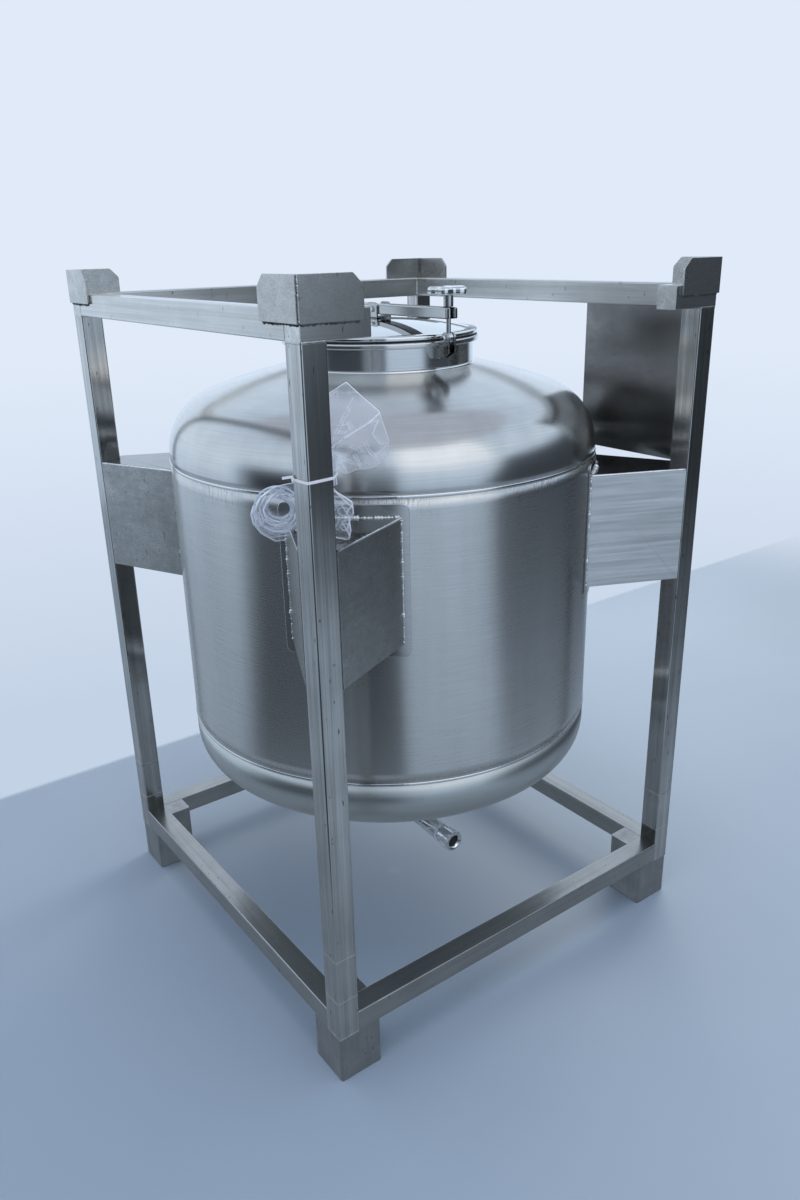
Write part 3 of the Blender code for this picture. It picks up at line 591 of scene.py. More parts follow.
# Soft screens round the tank, which only the steel's reflections see, on a wall ring and on the floor inside
# it. Each reaches between two turns to the right of the camera's way, in degrees, leaning by so many degrees
# a metre; soft is the width of both edges, top and fade are where it ends upwards, wall is its brightness by
# height and floor by distance from the tank's axis. First comes the pale room, then darker corners and the
# bright window.
screens = [
    # the pale room's floor darkens towards the tank's axis: a painted shadow of the tank, seen only in
    # reflections
    {"from": -999, "to": 999, "lean": 0, "soft": 1, "top": 99, "fade": 1,
     "wall": ([0, 1, 2, 4, 7], [0.80, 0.94, 1.02, 0.96, 0.84]),
     "floor": ([0.4, 0.9, 1.4, 5], [0.24, 0.32, 0.42, 0.5])},
    {"from": -72, "to": -14, "lean": 0, "soft": 20, "top": 2.2, "fade": 1.4, "wall": ([0, 2], [0.02, 0.04]),
     "floor": ([1.5, 2.5], [0.04, 0.09])},
    {"from": -16, "to": 9, "lean": 0, "soft": 7, "top": 3.4, "fade": 1.6,
     "wall": ([0, 1.5, 2.3], [0.15, 0.25, 0.45]), "floor": ([1, 5], [0.02, 0.04])},
    {"from": 8, "to": 60, "lean": 0, "soft": 7, "top": 9, "fade": 1,
     "wall": ([0, 1.5, 2, 4, 7], [0.7, 0.88, 0.95, 1.42, 1.35]), "floor": ([0.5, 1, 5], [0.25, 0.50, 0.50])},
    {"from": 50, "to": 140, "lean": 4.5, "soft": 12, "top": 2.8, "fade": 1.2, "wall": ([0, 2], [0.05, 0.07]),
     "floor": ([1.5, 2.5, 4], [0.30, 0.20, 0.09])}]

# the ring that carries the screens, where their images begin on the floor, how far those of leaning screens
# are turned there, and the tint at two brightnesses
screenRing = {"radius": 5.0, "height": 7.0, "foot": 0.02, "hole": 0.02, "floorLevel": 0.002, "floorRows": 60,
              "wallRows": 140, "turns": 720, "floorStart": 1.35, "floorFade": 0.6, "floorLean": 6.0,
              "tintAt": (0.8, 1.3), "dimTint": (0.78, 0.98, 1.24, 1), "brightTint": (0.92, 0.99, 1.09, 1)}


# brightness = before (1 - m) + screen m for each screen in turn, with m the product of its three smooth
# steps; dim parts are tinted bluer than bright ones, as the window light is
def makeScreens():
    radius, floorRows, wallRows = (screenRing[k] for k in ("radius", "floorRows", "wallRows"))
    floorRadii = np.linspace(radius, screenRing["hole"], floorRows)[::-1]
    r = np.concatenate([floorRadii, np.full(wallRows, radius)])
    z = np.concatenate([np.full(floorRows, screenRing["floorLevel"]),
                        np.linspace(screenRing["foot"], screenRing["height"], wallRows)])
    turn, r = np.meshgrid(np.linspace(-180, 180, screenRing["turns"], endpoint=False), r, indexing="ij")
    z = np.broadcast_to(z, turn.shape)
    onFloor = np.arange(floorRows + wallRows) < floorRows
    bright = np.zeros(turn.shape)
    for screen in screens:
        floorLean = screenRing["floorLean"] * (screen["lean"] > 0)
        start = screen["from"] + np.where(onFloor, floorLean, screen["lean"] * z)
        m = (rising(turn, start, screen["soft"]) * falling(turn, screen["to"], screen["soft"])
             * falling(z, screen["top"], screen["fade"]))
        if screen is not screens[0]:
            m = m * np.where(onFloor, rising(r, screenRing["floorStart"], screenRing["floorFade"]), 1.0)
        glow = np.where(onFloor, np.interp(r, *screen["floor"]), np.interp(z, *screen["wall"]))
        bright = bright * (1 - m) + glow * m
    angle = -math.pi / 2 - math.radians(view["heading"]) + np.radians(turn)
    points = np.stack([r * np.cos(angle), r * np.sin(angle), z], -1)
    mesh = bpy.data.meshes.new("reflected_screens")
    mesh.from_pydata(points.reshape(-1, 3), [], gridFaces(*turn.shape, closed=False, loop=True))
    addMarks(mesh, "glow", bright)
    material, tree, shader = newMaterial("softScreen")
    tree.nodes.remove(shader)
    glow = addNode(tree, "ShaderNodeAttribute", attribute_name="glow")
    dim, full = screenRing["tintAt"]
    share = addNode(tree, "ShaderNodeMapRange", {"Value": glow.outputs["Fac"], "From Min": dim,
                                                 "From Max": full})
    tint = addNode(tree, "ShaderNodeMix", {0: share.outputs[0], 6: screenRing["dimTint"],
                                           7: screenRing["brightTint"]}, data_type="RGBA")
    lamp = addNode(tree, "ShaderNodeEmission", {"Color": tint.outputs[2], "Strength": glow.outputs["Fac"]})
    tree.links.new(lamp.outputs[0], tree.nodes["Material Output"].inputs["Surface"])
    mesh.materials.append(material)
    ring = addObject("reflected_screens", mesh)
    for kind in ("camera", "diffuse", "transmission", "volume_scatter", "shadow"):
        setattr(ring, "visible_" + kind, False)


makeScreens()

studio = {"backdropHigh": "#E0EAF9", "backdropLow": "#C3D2E5", "backdropRise": (-0.42, -0.10), "room": 0.80,
          "daylight": "#D9E5FA", "floorDark": "#9CABBA", "floorLight": "#A6B5C3", "floorCloud": 1.3,
          "floorRoughness": 0.5, "floorHalf": 6.3, "floorFade": (4.2, 2.52), "sweepLine": 1.10,
          "sweepSoft": 0.015}


# the room lights the object evenly, and the camera sees a plain backdrop in its place
def makeRoom():
    world = bpy.data.worlds.new("room")
    bpy.context.scene.world = world
    world.use_nodes = True
    tree = world.node_tree
    tree.nodes.clear()
    room = addNode(tree, "ShaderNodeBackground", {"Color": linearColour(studio["daylight"]),
                                                  "Strength": studio["room"]})
    # the wall behind is a little darker towards its foot: a slope over the ray's rise
    coordinates = addNode(tree, "ShaderNodeTexCoord")
    ray = addNode(tree, "ShaderNodeSeparateXYZ", {"Vector": coordinates.outputs["Generated"]})
    low, high = studio["backdropRise"]
    rise = addNode(tree, "ShaderNodeMapRange", {"Value": ray.outputs["Z"], "From Min": low, "From Max": high})
    wall = addNode(tree, "ShaderNodeMix", {0: rise.outputs[0], 6: linearColour(studio["backdropLow"]),
                                           7: linearColour(studio["backdropHigh"])}, data_type="RGBA")
    backdrop = addNode(tree, "ShaderNodeBackground", {"Color": wall.outputs[2], "Strength": 1.0})
    path = addNode(tree, "ShaderNodeLightPath")
    mix = addNode(tree, "ShaderNodeMixShader", {0: path.outputs["Is Camera Ray"], 1: room.outputs[0],
                                                2: backdrop.outputs[0]})
    addNode(tree, "ShaderNodeOutputWorld", {"Surface": mix.outputs[0]})


# the floor is a painted sweep: behind the tank, and far off, it gives way to the pale backdrop
def makeFloor():
    half = studio["floorHalf"]
    mesh = bpy.data.meshes.new("floor")
    mesh.from_pydata([(-half, -half, 0), (half, -half, 0), (half, half, 0), (-half, half, 0)], [],
                     [(0, 1, 2, 3)])
    floor = addObject("floor", mesh)
    material, tree, shader = newMaterial("paintedConcrete")
    place = addNode(tree, "ShaderNodeTexCoord").outputs["Object"]
    cloud = addNode(tree, "ShaderNodeTexNoise", {"Vector": place, "Scale": studio["floorCloud"],
                                                 "Detail": 6.0})
    tone = addNode(tree, "ShaderNodeMix", {0: cloud.outputs["Fac"], 6: linearColour(studio["floorDark"]),
                                           7: linearColour(studio["floorLight"])}, data_type="RGBA")
    tree.links.new(tone.outputs[2], shader.inputs["Base Color"])
    shader.inputs["Roughness"].default_value = studio["floorRoughness"]
    parts = addNode(tree, "ShaderNodeSeparateXYZ", {"Vector": place})
    distance = addNode(tree, "ShaderNodeVectorMath", {0: place}, operation="LENGTH")
    middle, soft = studio["sweepLine"], studio["sweepSoft"]
    line = addNode(tree, "ShaderNodeMapRange", {"Value": parts.outputs["Y"], "From Min": middle + soft,
                                                "From Max": middle - soft}, interpolation_type="SMOOTHSTEP")
    gone, whole = studio["floorFade"]
    far = addNode(tree, "ShaderNodeMapRange", {"Value": distance.outputs["Value"], "From Min": gone,
                                               "From Max": whole}, interpolation_type="SMOOTHSTEP")
    shown = addNode(tree, "ShaderNodeMath", {0: line.outputs[0], 1: far.outputs[0]}, operation="MULTIPLY")
    tree.links.new(shown.outputs[0], shader.inputs["Alpha"])
    mesh.materials.append(material)


lamps = {"ceilingLight": {"place": (-0.3, -0.3, 3.4), "target": (0.0, 0.1, 0.0), "size": 2.2, "power": 36,
                          "tint": "#F1F6FF"},
         "windowLight": {"place": (2.4, 0.9, 2.4), "target": (0.6, 0.2, 0.0), "size": 1.6, "power": 52,
                         "tint": "#FFF4E4"}}


def makeLamps():
    for name, light in lamps.items():
        lamp = bpy.data.lights.new(name, "AREA")
        lamp.shape, lamp.size, lamp.size_y = "RECTANGLE", light["size"], light["size"]
        lamp.energy, lamp.color = light["power"], linearColour(light["tint"])[:3]
        holder = addObject(name, lamp)
        aim = (Vector(light["target"]) - Vector(light["place"])).to_track_quat("-Z", "Y")
        holder.matrix_world = Matrix.Translation(light["place"]) @ aim.to_matrix().to_4x4()
        holder.visible_glossy = False


makeRoom()
makeFloor()
makeLamps()
print("camera, floor and light made")


# Frame of square tube

tube = {"corner": 0.0030, "footCorner": 0.006, "end": 0.0006, "footInset": 0.0006,
        "spliceHeights": (0.208, 0.313), "innerGap": 0.0002, "innerEnds": 0.001}
spliceBead = {"width": 0.0045, "height": 0.0005, "ripple": 0.1}
innerBead = {"width": 0.006, "height": 0.0022, "ripple": 0.2, "seed": 9}
footLow, footHigh = nodeBox("foot_front_left")
footStep = footHigh[0] - footLow[0] - postWidth
# how far each bar runs on past the low and the high end of its node, to lie in the tube that it is welded to
runOn = {"bottom": (footStep + tube["corner"],) * 2, "top": (tube["corner"],) * 2, "post": (postWidth, 0.0)}


# A node's own box as a bar of square tube with rounded edges, brushed along its longest side. The joints at
# the feet are dressed flush: post and lower rails run on over the upper part of the foot, and the foot is
# drawn in a little.
def tubeBar(node, corner):
    low, high = nodeBox(node)
    kind = node.split("_")[0]
    size = high - low
    along = int(np.argmax(size))
    if kind == "foot":
        low, high = low + [tube["footInset"], tube["footInset"], 0], high - tube["footInset"]
    elif kind in runOn and node != "top_rail_back":
        low[along] -= runOn[kind][0]
        high[along] += runOn[kind][1]
    size = high - low
    axis = "xyz"[along]
    across = {"x": (size[2], size[1]), "y": (size[0], size[2]), "z": (size[0], size[1])}[axis]
    section = roundedOutline(rectangle(across[0] / 2, across[1] / 2), corner)
    matrix = Matrix.Translation((low + high) / 2) @ turnTo[axis]
    material = {"foot": footSteel, "post": postSteel, "bottom": lowRailSteel}.get(kind, railSteel)
    slab(node + "_tube", section, size[along], tube["end"], material, matrix, grainAxis="z", nodes=[node],
         slot="tube_steel")


# a dressed weld seam round a post, at one height
def postSeam(name, corner, level):
    half = postWidth / 2
    section = roundedOutline(rectangle(half, half), tube["corner"])
    centre = np.array(corners[corner]) * (frameHalf - half)
    path = np.column_stack([section + centre, np.full(len(section), level)])
    normals = np.column_stack([section, np.zeros(len(section))])
    bead(name, path, normals, weldSteel, **spliceBead, closed=True, slot="tube_steel")


def makeFrame():
    for node in sorted(frame["nodes"]):
        if node.startswith(("post_", "top_rail", "bottom_rail", "stub_")):
            tubeBar(node, tube["corner"])
        elif node.startswith("foot_"):
            tubeBar(node, tube["footCorner"])
    railLow, railHigh = nodeBox("top_rail_back")
    for corner, (sx, sy) in corners.items():
        for level in tube["spliceHeights"]:
            postSeam(f"splice_{corner}_{round(level * 1000)}", corner, level)
        postSeam(f"post_top_seam_{corner}", corner, postHigh[2])
        postSeam(f"post_foot_seam_{corner}", corner, postLow[2] - postWidth)
        if corner.startswith("back"):  # upright seam where two top rails meet in the inner corner
            inner, ends = frameHalf - postWidth - tube["innerGap"], tube["innerEnds"]
            path = uprightLine(sx * inner, sy * inner, railLow[2] + ends, railHigh[2] - ends, 12)
            bead(f"top_rail_seam_{corner}", path, (-sx, -sy, 0), weldSteel, **innerBead, slot="tube_steel")


makeFrame()
print("frame made")


# Stacking lugs, brackets, pads and the bare plate

plate = {"edge": 0.0006, "corner": 0.0008}
lug = {"thickness": 0.005, "chamfer": 0.020, "soft": 0.007, "foot": 0.004, "groove": 0.0018,
       "weldEnds": 0.001, "innerGap": 0.0002, "seamStart": 0.006, "seamStop": 0.005, "seamGap": 0.0012,
       "seamDrop": 0.0005}
innerLugBead = {"width": 0.0070, "height": 0.0030, "ripple": 0.3}
lugSeamBead = {"width": 0.0075, "height": 0.0034, "ripple": 0.45, "pitch": 0.0045}
# two beads in the groove between a lug's plates, with their distances in from its outer faces along X and Y:
# a bright crest, and beside it a dark bead that is a painted shadow line
grooveBeads = {"crest": ((0.0036, 0.0020), stitchSteel, {"width": 0.0028, "height": 0.0014}),
               "paintedShadow": ((0.0020, 0.0036), scorchedSteel, {"width": 0.0030, "height": 0.0015})}


# A plate that stands on the plan line from start to end, between two heights, with its thickness centred on
# the line. Its start may have a chamfer above and a small round below.
def uprightPlate(name, start, end, low, high, thickness, material, chamfer=0.0, **place):
    start, end = np.array(start, float), np.array(end, float)
    half, small = np.linalg.norm(end - start) / 2, plate["corner"]
    outline, rounds = [(-half, low), (half, low), (half, high), (-half, high)], small
    if chamfer:
        outline[3:] = [(-half + chamfer, high), (-half, high - chamfer)]
        rounds = [lug["foot"], small, small, lug["soft"], lug["soft"]]
    turn = math.atan2(*(end - start)[::-1])
    matrix = (Matrix.Translation((*(start + end) / 2, 0)) @ Matrix.Rotation(turn, 4, "Z")
              @ Matrix.Rotation(math.radians(90), 4, "X"))
    return slab(name, roundedOutline(outline, rounds), thickness, plate["edge"], material, matrix,
                slot="plate_steel", **place)


def makeLugs():
    for seed, (corner, (sx, sy)) in enumerate(corners.items()):
        low, high = nodeBox("lug_" + corner)
        outer, inner = max(abs(low[0]), abs(high[0])), min(abs(low[0]), abs(high[0]))
        thickness = lug["thickness"]
        middle = outer - thickness / 2
        along = outer - thickness + lug["groove"]
        uprightPlate(f"lug_{corner}_plate_a", (sx * inner, sy * middle), (sx * along, sy * middle), low[2],
                     high[2], thickness, plateSteel, lug["chamfer"], nodes=["lug_" + corner])
        uprightPlate(f"lug_{corner}_plate_b", (sx * middle, sy * inner), (sx * middle, sy * along), low[2],
                     high[2], thickness, plateSteel, lug["chamfer"])
        foot, top = low[2] + lug["weldEnds"], high[2] - lug["weldEnds"]
        for part, ((inX, inY), metal, size) in grooveBeads.items():
            path = uprightLine(sx * (outer - inX), sy * (outer - inY), foot, top, 20)
            bead(f"lug_{corner}_corner_{part}", path, (sx, sy, 0), metal, **size, ripple=0.2, pitch=0.004,
                 seed=seed + 1, slot="plate_steel")
        # the bead in the lug's inner corner is drawn dark: painted shade in the corner
        inside = outer - thickness - lug["innerGap"]
        path = uprightLine(sx * inside, sy * inside, foot, top, 20)
        bead(f"lug_{corner}_inner_weld", path, (-sx, -sy, 0), scorchedSteel, **innerLugBead, seed=seed + 21,
             slot="plate_steel")
        # rough bead along the lower edge of both plates, as the torch left it, drawn dark as painted shade
        # under the lug
        s = np.linspace(inner + lug["seamStart"], outer - lug["seamStop"], 40)
        fixed = np.full(40, outer - thickness - lug["seamGap"])
        for letter, (x, y), out in (("a", (s, fixed), (0, sy, -0.8)), ("b", (fixed, s), (sx, 0, -0.8))):
            path = np.column_stack([sx * x, sy * y, np.full(40, low[2] - lug["seamDrop"])])
            bead(f"lug_{corner}_seam_{letter}", path, out, scorchedSteel, **lugSeamBead, seed=seed + 11,
                 slot="plate_steel")


makeLugs()

bracket = {"coverCorner": 0.0005, "weldFoot": 0.002, "edgeLean": 1.4, "arcSpread": 13.0, "arcGap": 0.0035}
shellBead = {"width": 0.0040, "height": 0.0022, "ripple": 0.7, "pitch": 0.006, "seed": 3}
edgeBead = {"width": 0.0050, "height": 0.0022, "ripple": 0.1, "pitch": 0.006, "seed": 4}
arcBead = {"width": 0.0080, "height": 0.0040, "ripple": 0.9, "pitch": 0.0065, "seed": 5}


# Each bracket repeats the frame's plan: two side plates run from a post's side corners to the pad, at the
# places where the nodes' own corners lie, under a cover.
def makeBrackets():
    for corner, (sx, sy) in corners.items():
        low, high = nodeBox(f"bracket_{corner}_side_a")
        coverLow, coverHigh = nodeBox(f"bracket_{corner}_cover")
        thickness = coverHigh[2] - coverLow[2]
        sideways = np.array([-sy, sx])
        # the side plates of the open side's right bracket were dressed with a coarse disc
        material = groundSteel if corner == "front_right" else plateSteel
        for letter in ("a", "b"):
            node = f"bracket_{corner}_side_{letter}"
            plan = nodePlan(node)
            order = np.argsort(np.linalg.norm(plan, axis=1))
            nearShell, nearPost = plan[order[:2]].mean(0), plan[order[2:4]].mean(0)
            uprightPlate(node + "_plate", nearPost, nearShell, low[2], high[2], thickness, material,
                         nodes=[node])
            # a stitched weld stands on the outer one of its two corners at the shell
            shellCorners = plan[order[:2]]
            away = shellCorners[np.argmax(np.abs(shellCorners @ sideways))]
            outward = np.sign(away @ sideways) * unit(sideways)
            path = uprightLine(*away, low[2] + bracket["weldFoot"], high[2], 30)
            bead(node + "_shell_weld", path, (*(outward + unit(away)), 0), stitchSteel, **shellBead,
                 slot="plate_steel")
            # the plate's top edge, melted into the cover's edge and polished
            path = np.column_stack([np.linspace(nearPost, away, 12), np.full(12, high[2] + thickness / 2)])
            bead(node + "_edge_weld", path, (*outward, bracket["edgeLean"]), stitchSteel, **edgeBead,
                 slot="plate_steel")
        plan = nodePlan(f"bracket_{corner}_cover")
        angle = np.arctan2(*(plan - plan.mean(0)).T[::-1])
        outline = roundedOutline(plan[np.argsort(angle)], bracket["coverCorner"], steps=2, margin=0.0002)
        level = Matrix.Translation((0, 0, (coverLow[2] + coverHigh[2]) / 2))
        # the covers' darkened steel is painted shade
        slab(f"bracket_{corner}_cover_plate", outline, thickness, plate["edge"], brightSteel, level,
             nodes=[f"bracket_{corner}_cover"], slot="plate_steel")
        # bead along the arc where the cover meets the pad
        a = math.atan2(sy, sx) + np.radians(np.linspace(-bracket["arcSpread"], bracket["arcSpread"], 60))
        radius = vesselRadius + bracket["arcGap"]
        path = np.column_stack([radius * np.cos(a), radius * np.sin(a), np.full(60, coverHigh[2])])
        normals = np.column_stack([np.cos(a), np.sin(a), np.ones(60)])
        bead(f"bracket_{corner}_arc_weld", path, normals, stitchSteel, **arcBead, slot="plate_steel")


makeBrackets()

pad = {"spread": 15.0, "corner": 0.014, "gap": 0.0003, "proud": 0.0033, "rimRound": 0.0008, "around": 240,
       "rows": (1, 1, 0.9995, 0.99, 0.9, 0.8, 0.7, 0.6, 0.5, 0.4, 0.3, 0.2, 0.1)}


# A pad is a sheet bent to the shell: (r cos t, r sin t, z) with its corners cut round. Its rows are the
# outline drawn in towards its middle, so that the bent face has points all over, and its rim steps down to
# the shell.
def makePads():
    for corner, (sx, sy) in corners.items():
        low, high = nodeBox("pad_" + corner)
        outer = vesselRadius + pad["proud"]
        width, tall = 2 * math.radians(pad["spread"]) * outer, high[2] - low[2]
        outline = evenOutline(roundedOutline(rectangle(width / 2, tall / 2), pad["corner"]), pad["around"])
        share = np.array(pad["rows"])
        depth = np.full(len(share), outer)
        depth[:2] = vesselRadius + pad["gap"], outer - pad["rimRound"]
        rows = outline[None] * share[:, None, None]
        t = math.atan2(sy, sx) + rows[..., 0] / outer
        z = (low[2] + high[2]) / 2 + rows[..., 1]
        points = np.stack([depth[:, None] * np.cos(t), depth[:, None] * np.sin(t), z], -1)
        faces = gridFaces(*t.shape) + endFaces(*t.shape)[1:]
        makePiece(f"pad_{corner}_sheet", points, faces, headSteel, nodes=["pad_" + corner],
                  slot="plate_steel")


makePads()


def makePanel():
    low, high = nodeBox("panel")
    x = (low[0] + high[0]) / 2
    uprightPlate("bare_plate", (x, low[1]), (x, high[1]), low[2], high[2], high[0] - low[0], panelSteel,
                 nodes=["panel"])


makePanel()
print("lugs, brackets and plate made")


# Vessel

vessel = {"wall": 0.004, "topStraight": 0.013, "topKnuckle": 0.140, "topCrown": 1.190,
          "bottomStraight": 0.045, "bottomKnuckle": 0.090, "bottomCrown": 1.000, "topOpening": 0.2148,
          "bottomOpening": 0.0196, "seamGap": 0.0003, "crownRows": 40, "knuckleRows": 28, "shellRows": 24,
          "steps": 288}
seamBead = {"width": 0.0065, "height": 0.0014, "ripple": 0.06, "pitch": 0.012, "seed": 21}


# A dished end above z = 0 from its opening out and down: an arc of the crown radius, the knuckle's arc where
# their tangents agree, and the straight edge. inset draws all of it inwards.
def headProfile(end, inset):
    straight, knuckle, crown, opening = (vessel[end + part] for part in ("Straight", "Knuckle", "Crown",
                                                                         "Opening"))
    across = vesselRadius - knuckle
    fall = math.sqrt((crown - knuckle) ** 2 - across ** 2)
    start = 90 - math.degrees(math.asin(opening / (crown - inset)))
    tangent = math.degrees(math.atan2(fall, across))
    crownArc = arcPoints((0, straight - fall), crown - inset, start, tangent, vessel["crownRows"])
    knuckleArc = arcPoints((across, straight), knuckle - inset, tangent, 0, vessel["knuckleRows"])[1:]
    return np.concatenate([crownArc, knuckleArc, [[vesselRadius - inset, 0.0]]])


def makeVessel():
    z = np.linspace(topSeam, bottomSeam, vessel["shellRows"])
    outside = np.column_stack([np.full(len(z), vesselRadius), z])
    inside = np.column_stack([np.full(len(z), vesselRadius - vessel["wall"]), z[::-1]])
    turnedSurface("shell_sheet", np.concatenate([outside, inside]), vesselSteel, vessel["steps"],
                  nodes=["shell"], slot="vessel_steel")
    for end, side, seam, metal in (("top", 1, topSeam, headSteel), ("bottom", -1, bottomSeam, bottomSteel)):
        # side turns the bottom end upside down, and its rows with it
        profile = np.concatenate([headProfile(end, 0), headProfile(end, vessel["wall"])[::-1]])
        profile = profile[::side] * [1, side]
        turnedSurface(end + "_dish", profile, metal, vessel["steps"],
                      Matrix.Translation((0, 0, seam + side * vessel["seamGap"])), nodes=[end + "_head"],
                      slot="vessel_steel")
    ring = circle(720)
    for end, seam in (("top", topSeam), ("bottom", bottomSeam)):
        bead(end + "_seam_weld", ring * vesselRadius + [0, 0, seam], ring, mirrorSteel, **seamBead,
             closed=True, slot="vessel_steel")


makeVessel()
print("vessel made")


# Manway

manway = {"neck": 0.2145, "bore": 0.2115, "flangeBottom": 1.4625, "flangeRound": 0.0045,
          "flangeFillet": 0.001, "neckEnd": 0.0005, "gasketRound": 0.0012, "domeRadius": 0.205, "rise": 0.024,
          "rimTop": 1.489, "rimFlat": 0.002, "rimRound": 0.0045, "rimUnder": 0.003, "lidWall": 0.003,
          "domeRows": 40, "weldHeight": 1.4148, "weldGap": 0.001, "weldLean": 0.8, "steps": 256}
neckBead = {"width": 0.008, "height": 0.0025, "ripple": 0.08, "pitch": 0.006, "seed": 31}


# The neck and its flange, the gasket and the lid's rim are profiles with rounded corners. The lid's dome is
# part of a sphere of radius (r^2 + rise^2) / (2 rise), outside and inside.
def makeManway():
    neck, bore, flange, flangeBottom = manway["neck"], manway["bore"], neckHigh[0], manway["flangeBottom"]
    rounds = [0, manway["flangeRound"], manway["flangeRound"], manway["flangeFillet"], manway["neckEnd"], 0]
    profile = smoothProfile([(bore, neckHigh[2]), (flange, neckHigh[2]), (flange, flangeBottom),
                             (neck, flangeBottom), (neck, neckLow[2]), (bore, neckLow[2])], rounds)
    turnedSurface("neck_and_flange", profile, neckSteel, manway["steps"], nodes=["manway_neck"],
                  slot="polished_steel")
    low, high = nodeBox("manway_gasket")
    rounds = [0, manway["gasketRound"], manway["gasketRound"], 0]
    profile = smoothProfile([(bore, high[2]), (high[0], high[2]), (high[0], low[2]), (bore, low[2])], rounds)
    turnedSurface("lid_gasket", profile, rubber, manway["steps"], nodes=["manway_gasket"],
                  slot="gasket_rubber")

    dome, rise, rimTop, rows = (manway[k] for k in ("domeRadius", "rise", "rimTop", "domeRows"))
    sphere = (dome ** 2 + rise ** 2) / (2 * rise)
    centre = (0, rimTop + rise - sphere)
    spread = math.degrees(math.asin(dome / sphere))
    over = arcPoints(centre, sphere, 90, 90 - spread, rows)
    under = arcPoints(centre, sphere - manway["lidWall"], 90 - spread, 90, rows)
    over[0, 0] = under[-1, 0] = 0
    rim = smoothProfile([(dome + manway["rimFlat"], rimTop), (lidHigh[0], rimTop), (lidHigh[0], lidLow[2]),
                         (dome, lidLow[2])], [0, manway["rimRound"], manway["rimUnder"], 0])
    turnedSurface("domed_lid", np.concatenate([over, rim, under]), mirrorSteel, manway["steps"],
                  nodes=["lid"], slot="polished_steel")
    ring = circle(480)
    path = ring * (neck + manway["weldGap"]) + [0, 0, manway["weldHeight"]]
    bead("neck_base_weld", path, ring + [0, 0, manway["weldLean"]], mirrorSteel, **neckBead, closed=True,
         slot="vessel_steel")


makeManway()


# Clamp arm, ears, bolts and knob

clamp = {"slot": 0.014, "forkDepth": 0.026, "armEdge": 0.0025, "armEnd": 0.004, "forkTip": 0.003,
         "slotMouth": 0.002, "slotRound": 0.0068, "reach": 0.250, "earPlate": 0.004, "earRound": 0.0125,
         "earFoot": 0.2147, "earBottom": 1.4375, "earShoulder": 1.452, "earToe": 0.015, "flangeGap": 0.0005,
         "flangeReach": 0.0015, "armGap": 0.0006, "boltSlot": 0.013, "plateEdge": 0.0006, "lugPlate": 0.004,
         "lugRound": 0.009, "lugFoot": 0.0008, "base": 0.003, "baseRound": 0.002, "baseEdge": 0.0005}
# hexagon heads and the rods between them: shank and flats are shares of the node's radius
pin = {"rodRound": 0.0006, "shank": 0.6, "shankShort": 0.004, "flats": 1.85, "head": 0.0052,
       "hexRound": 0.0006, "hexEdge": 0.0008}


def crossRod(name, centre, length, radius, body="root", **place):
    half, soft = length / 2, pin["rodRound"]
    profile = smoothProfile([(0, half), (radius, half), (radius, -half), (0, -half)], [0, soft, soft, 0])
    return turnedSurface(name, profile, mirrorSteel, 48, Matrix.Translation(centre) @ turnTo["x"], body=body,
                         slot="polished_steel", **place)


# a bolt head or nut: a six-sided outline with its rims rounded, standing along X
def hexagon(name, centre, acrossFlats, thick, body="root"):
    a = np.radians(np.arange(6) * 60 + 30)
    sixSides = np.column_stack([np.cos(a), np.sin(a)]) * acrossFlats / math.sqrt(3)
    outline = roundedOutline(sixSides, pin["hexRound"], steps=3, margin=0.0002)
    return slab(name, outline, thick, pin["hexEdge"], mirrorSteel, Matrix.Translation(centre) @ turnTo["x"],
                body=body, slot="polished_steel")


# a bar whose front end is a fork: its outline goes round a slot that ends in a half circle
def makeArm():
    half, slot = (armHigh[0] - armLow[0]) / 2, clamp["slot"] / 2
    slotEnd = armLow[1] + clamp["forkDepth"] + slot
    end, tip, mouth, inner = (clamp[k] for k in ("armEnd", "forkTip", "slotMouth", "slotRound"))
    outline = roundedOutline([(half, armHigh[1]), (-half, armHigh[1]), (-half, armLow[1]), (-slot, armLow[1]),
                              (-slot, slotEnd), (slot, slotEnd), (slot, armLow[1]), (half, armLow[1])],
                             [end, end, tip, mouth, inner, inner, mouth, tip])
    slab("arm_bar", outline, armHigh[2] - armLow[2], clamp["armEdge"], clampSteel,
         Matrix.Translation((0, 0, (armLow[2] + armHigh[2]) / 2)), grainAxis="y", nodes=["clamp_arm"],
         slot="polished_steel")


# Two plates that stand out from the neck, each an outline in (distance out, height) with a round top. facing
# is -1 for the ears in front and 1 for those behind.
def earPlates(name, node, slotWidth, pivotHeight, facing):
    reach, rounding, foot, bottom = clamp["reach"], clamp["earRound"], clamp["earFoot"], clamp["earBottom"]
    under = manway["flangeBottom"] - clamp["flangeGap"]
    top = arcPoints((reach, pivotHeight), rounding, 180, 0, 24)
    outline = np.concatenate([[(foot, bottom), (foot, under), (neckHigh[0] + clamp["flangeReach"], under)],
                              top, [(reach + rounding, clamp["earShoulder"]),
                                    (reach - clamp["earToe"], bottom)]])
    for letter, side in (("a", -1), ("b", 1)):
        x = side * (slotWidth + clamp["earPlate"]) / 2
        # columns of the matrix: outline x goes out along Y, outline y up, and its thickness along X
        matrix = Matrix(((0, 0, 1, x), (facing, 0, 0, 0), (0, 1, 0, 0), (0, 0, 0, 1)))
        piece = slab(f"{name}_{letter}", outline, clamp["earPlate"], clamp["plateEdge"], clampSteel, matrix,
                     slot="polished_steel", nodes=[node] if letter == "a" else ())
        if facing < 0:  # a mirroring matrix turns the faces inside out
            piece.data.flip_normals()


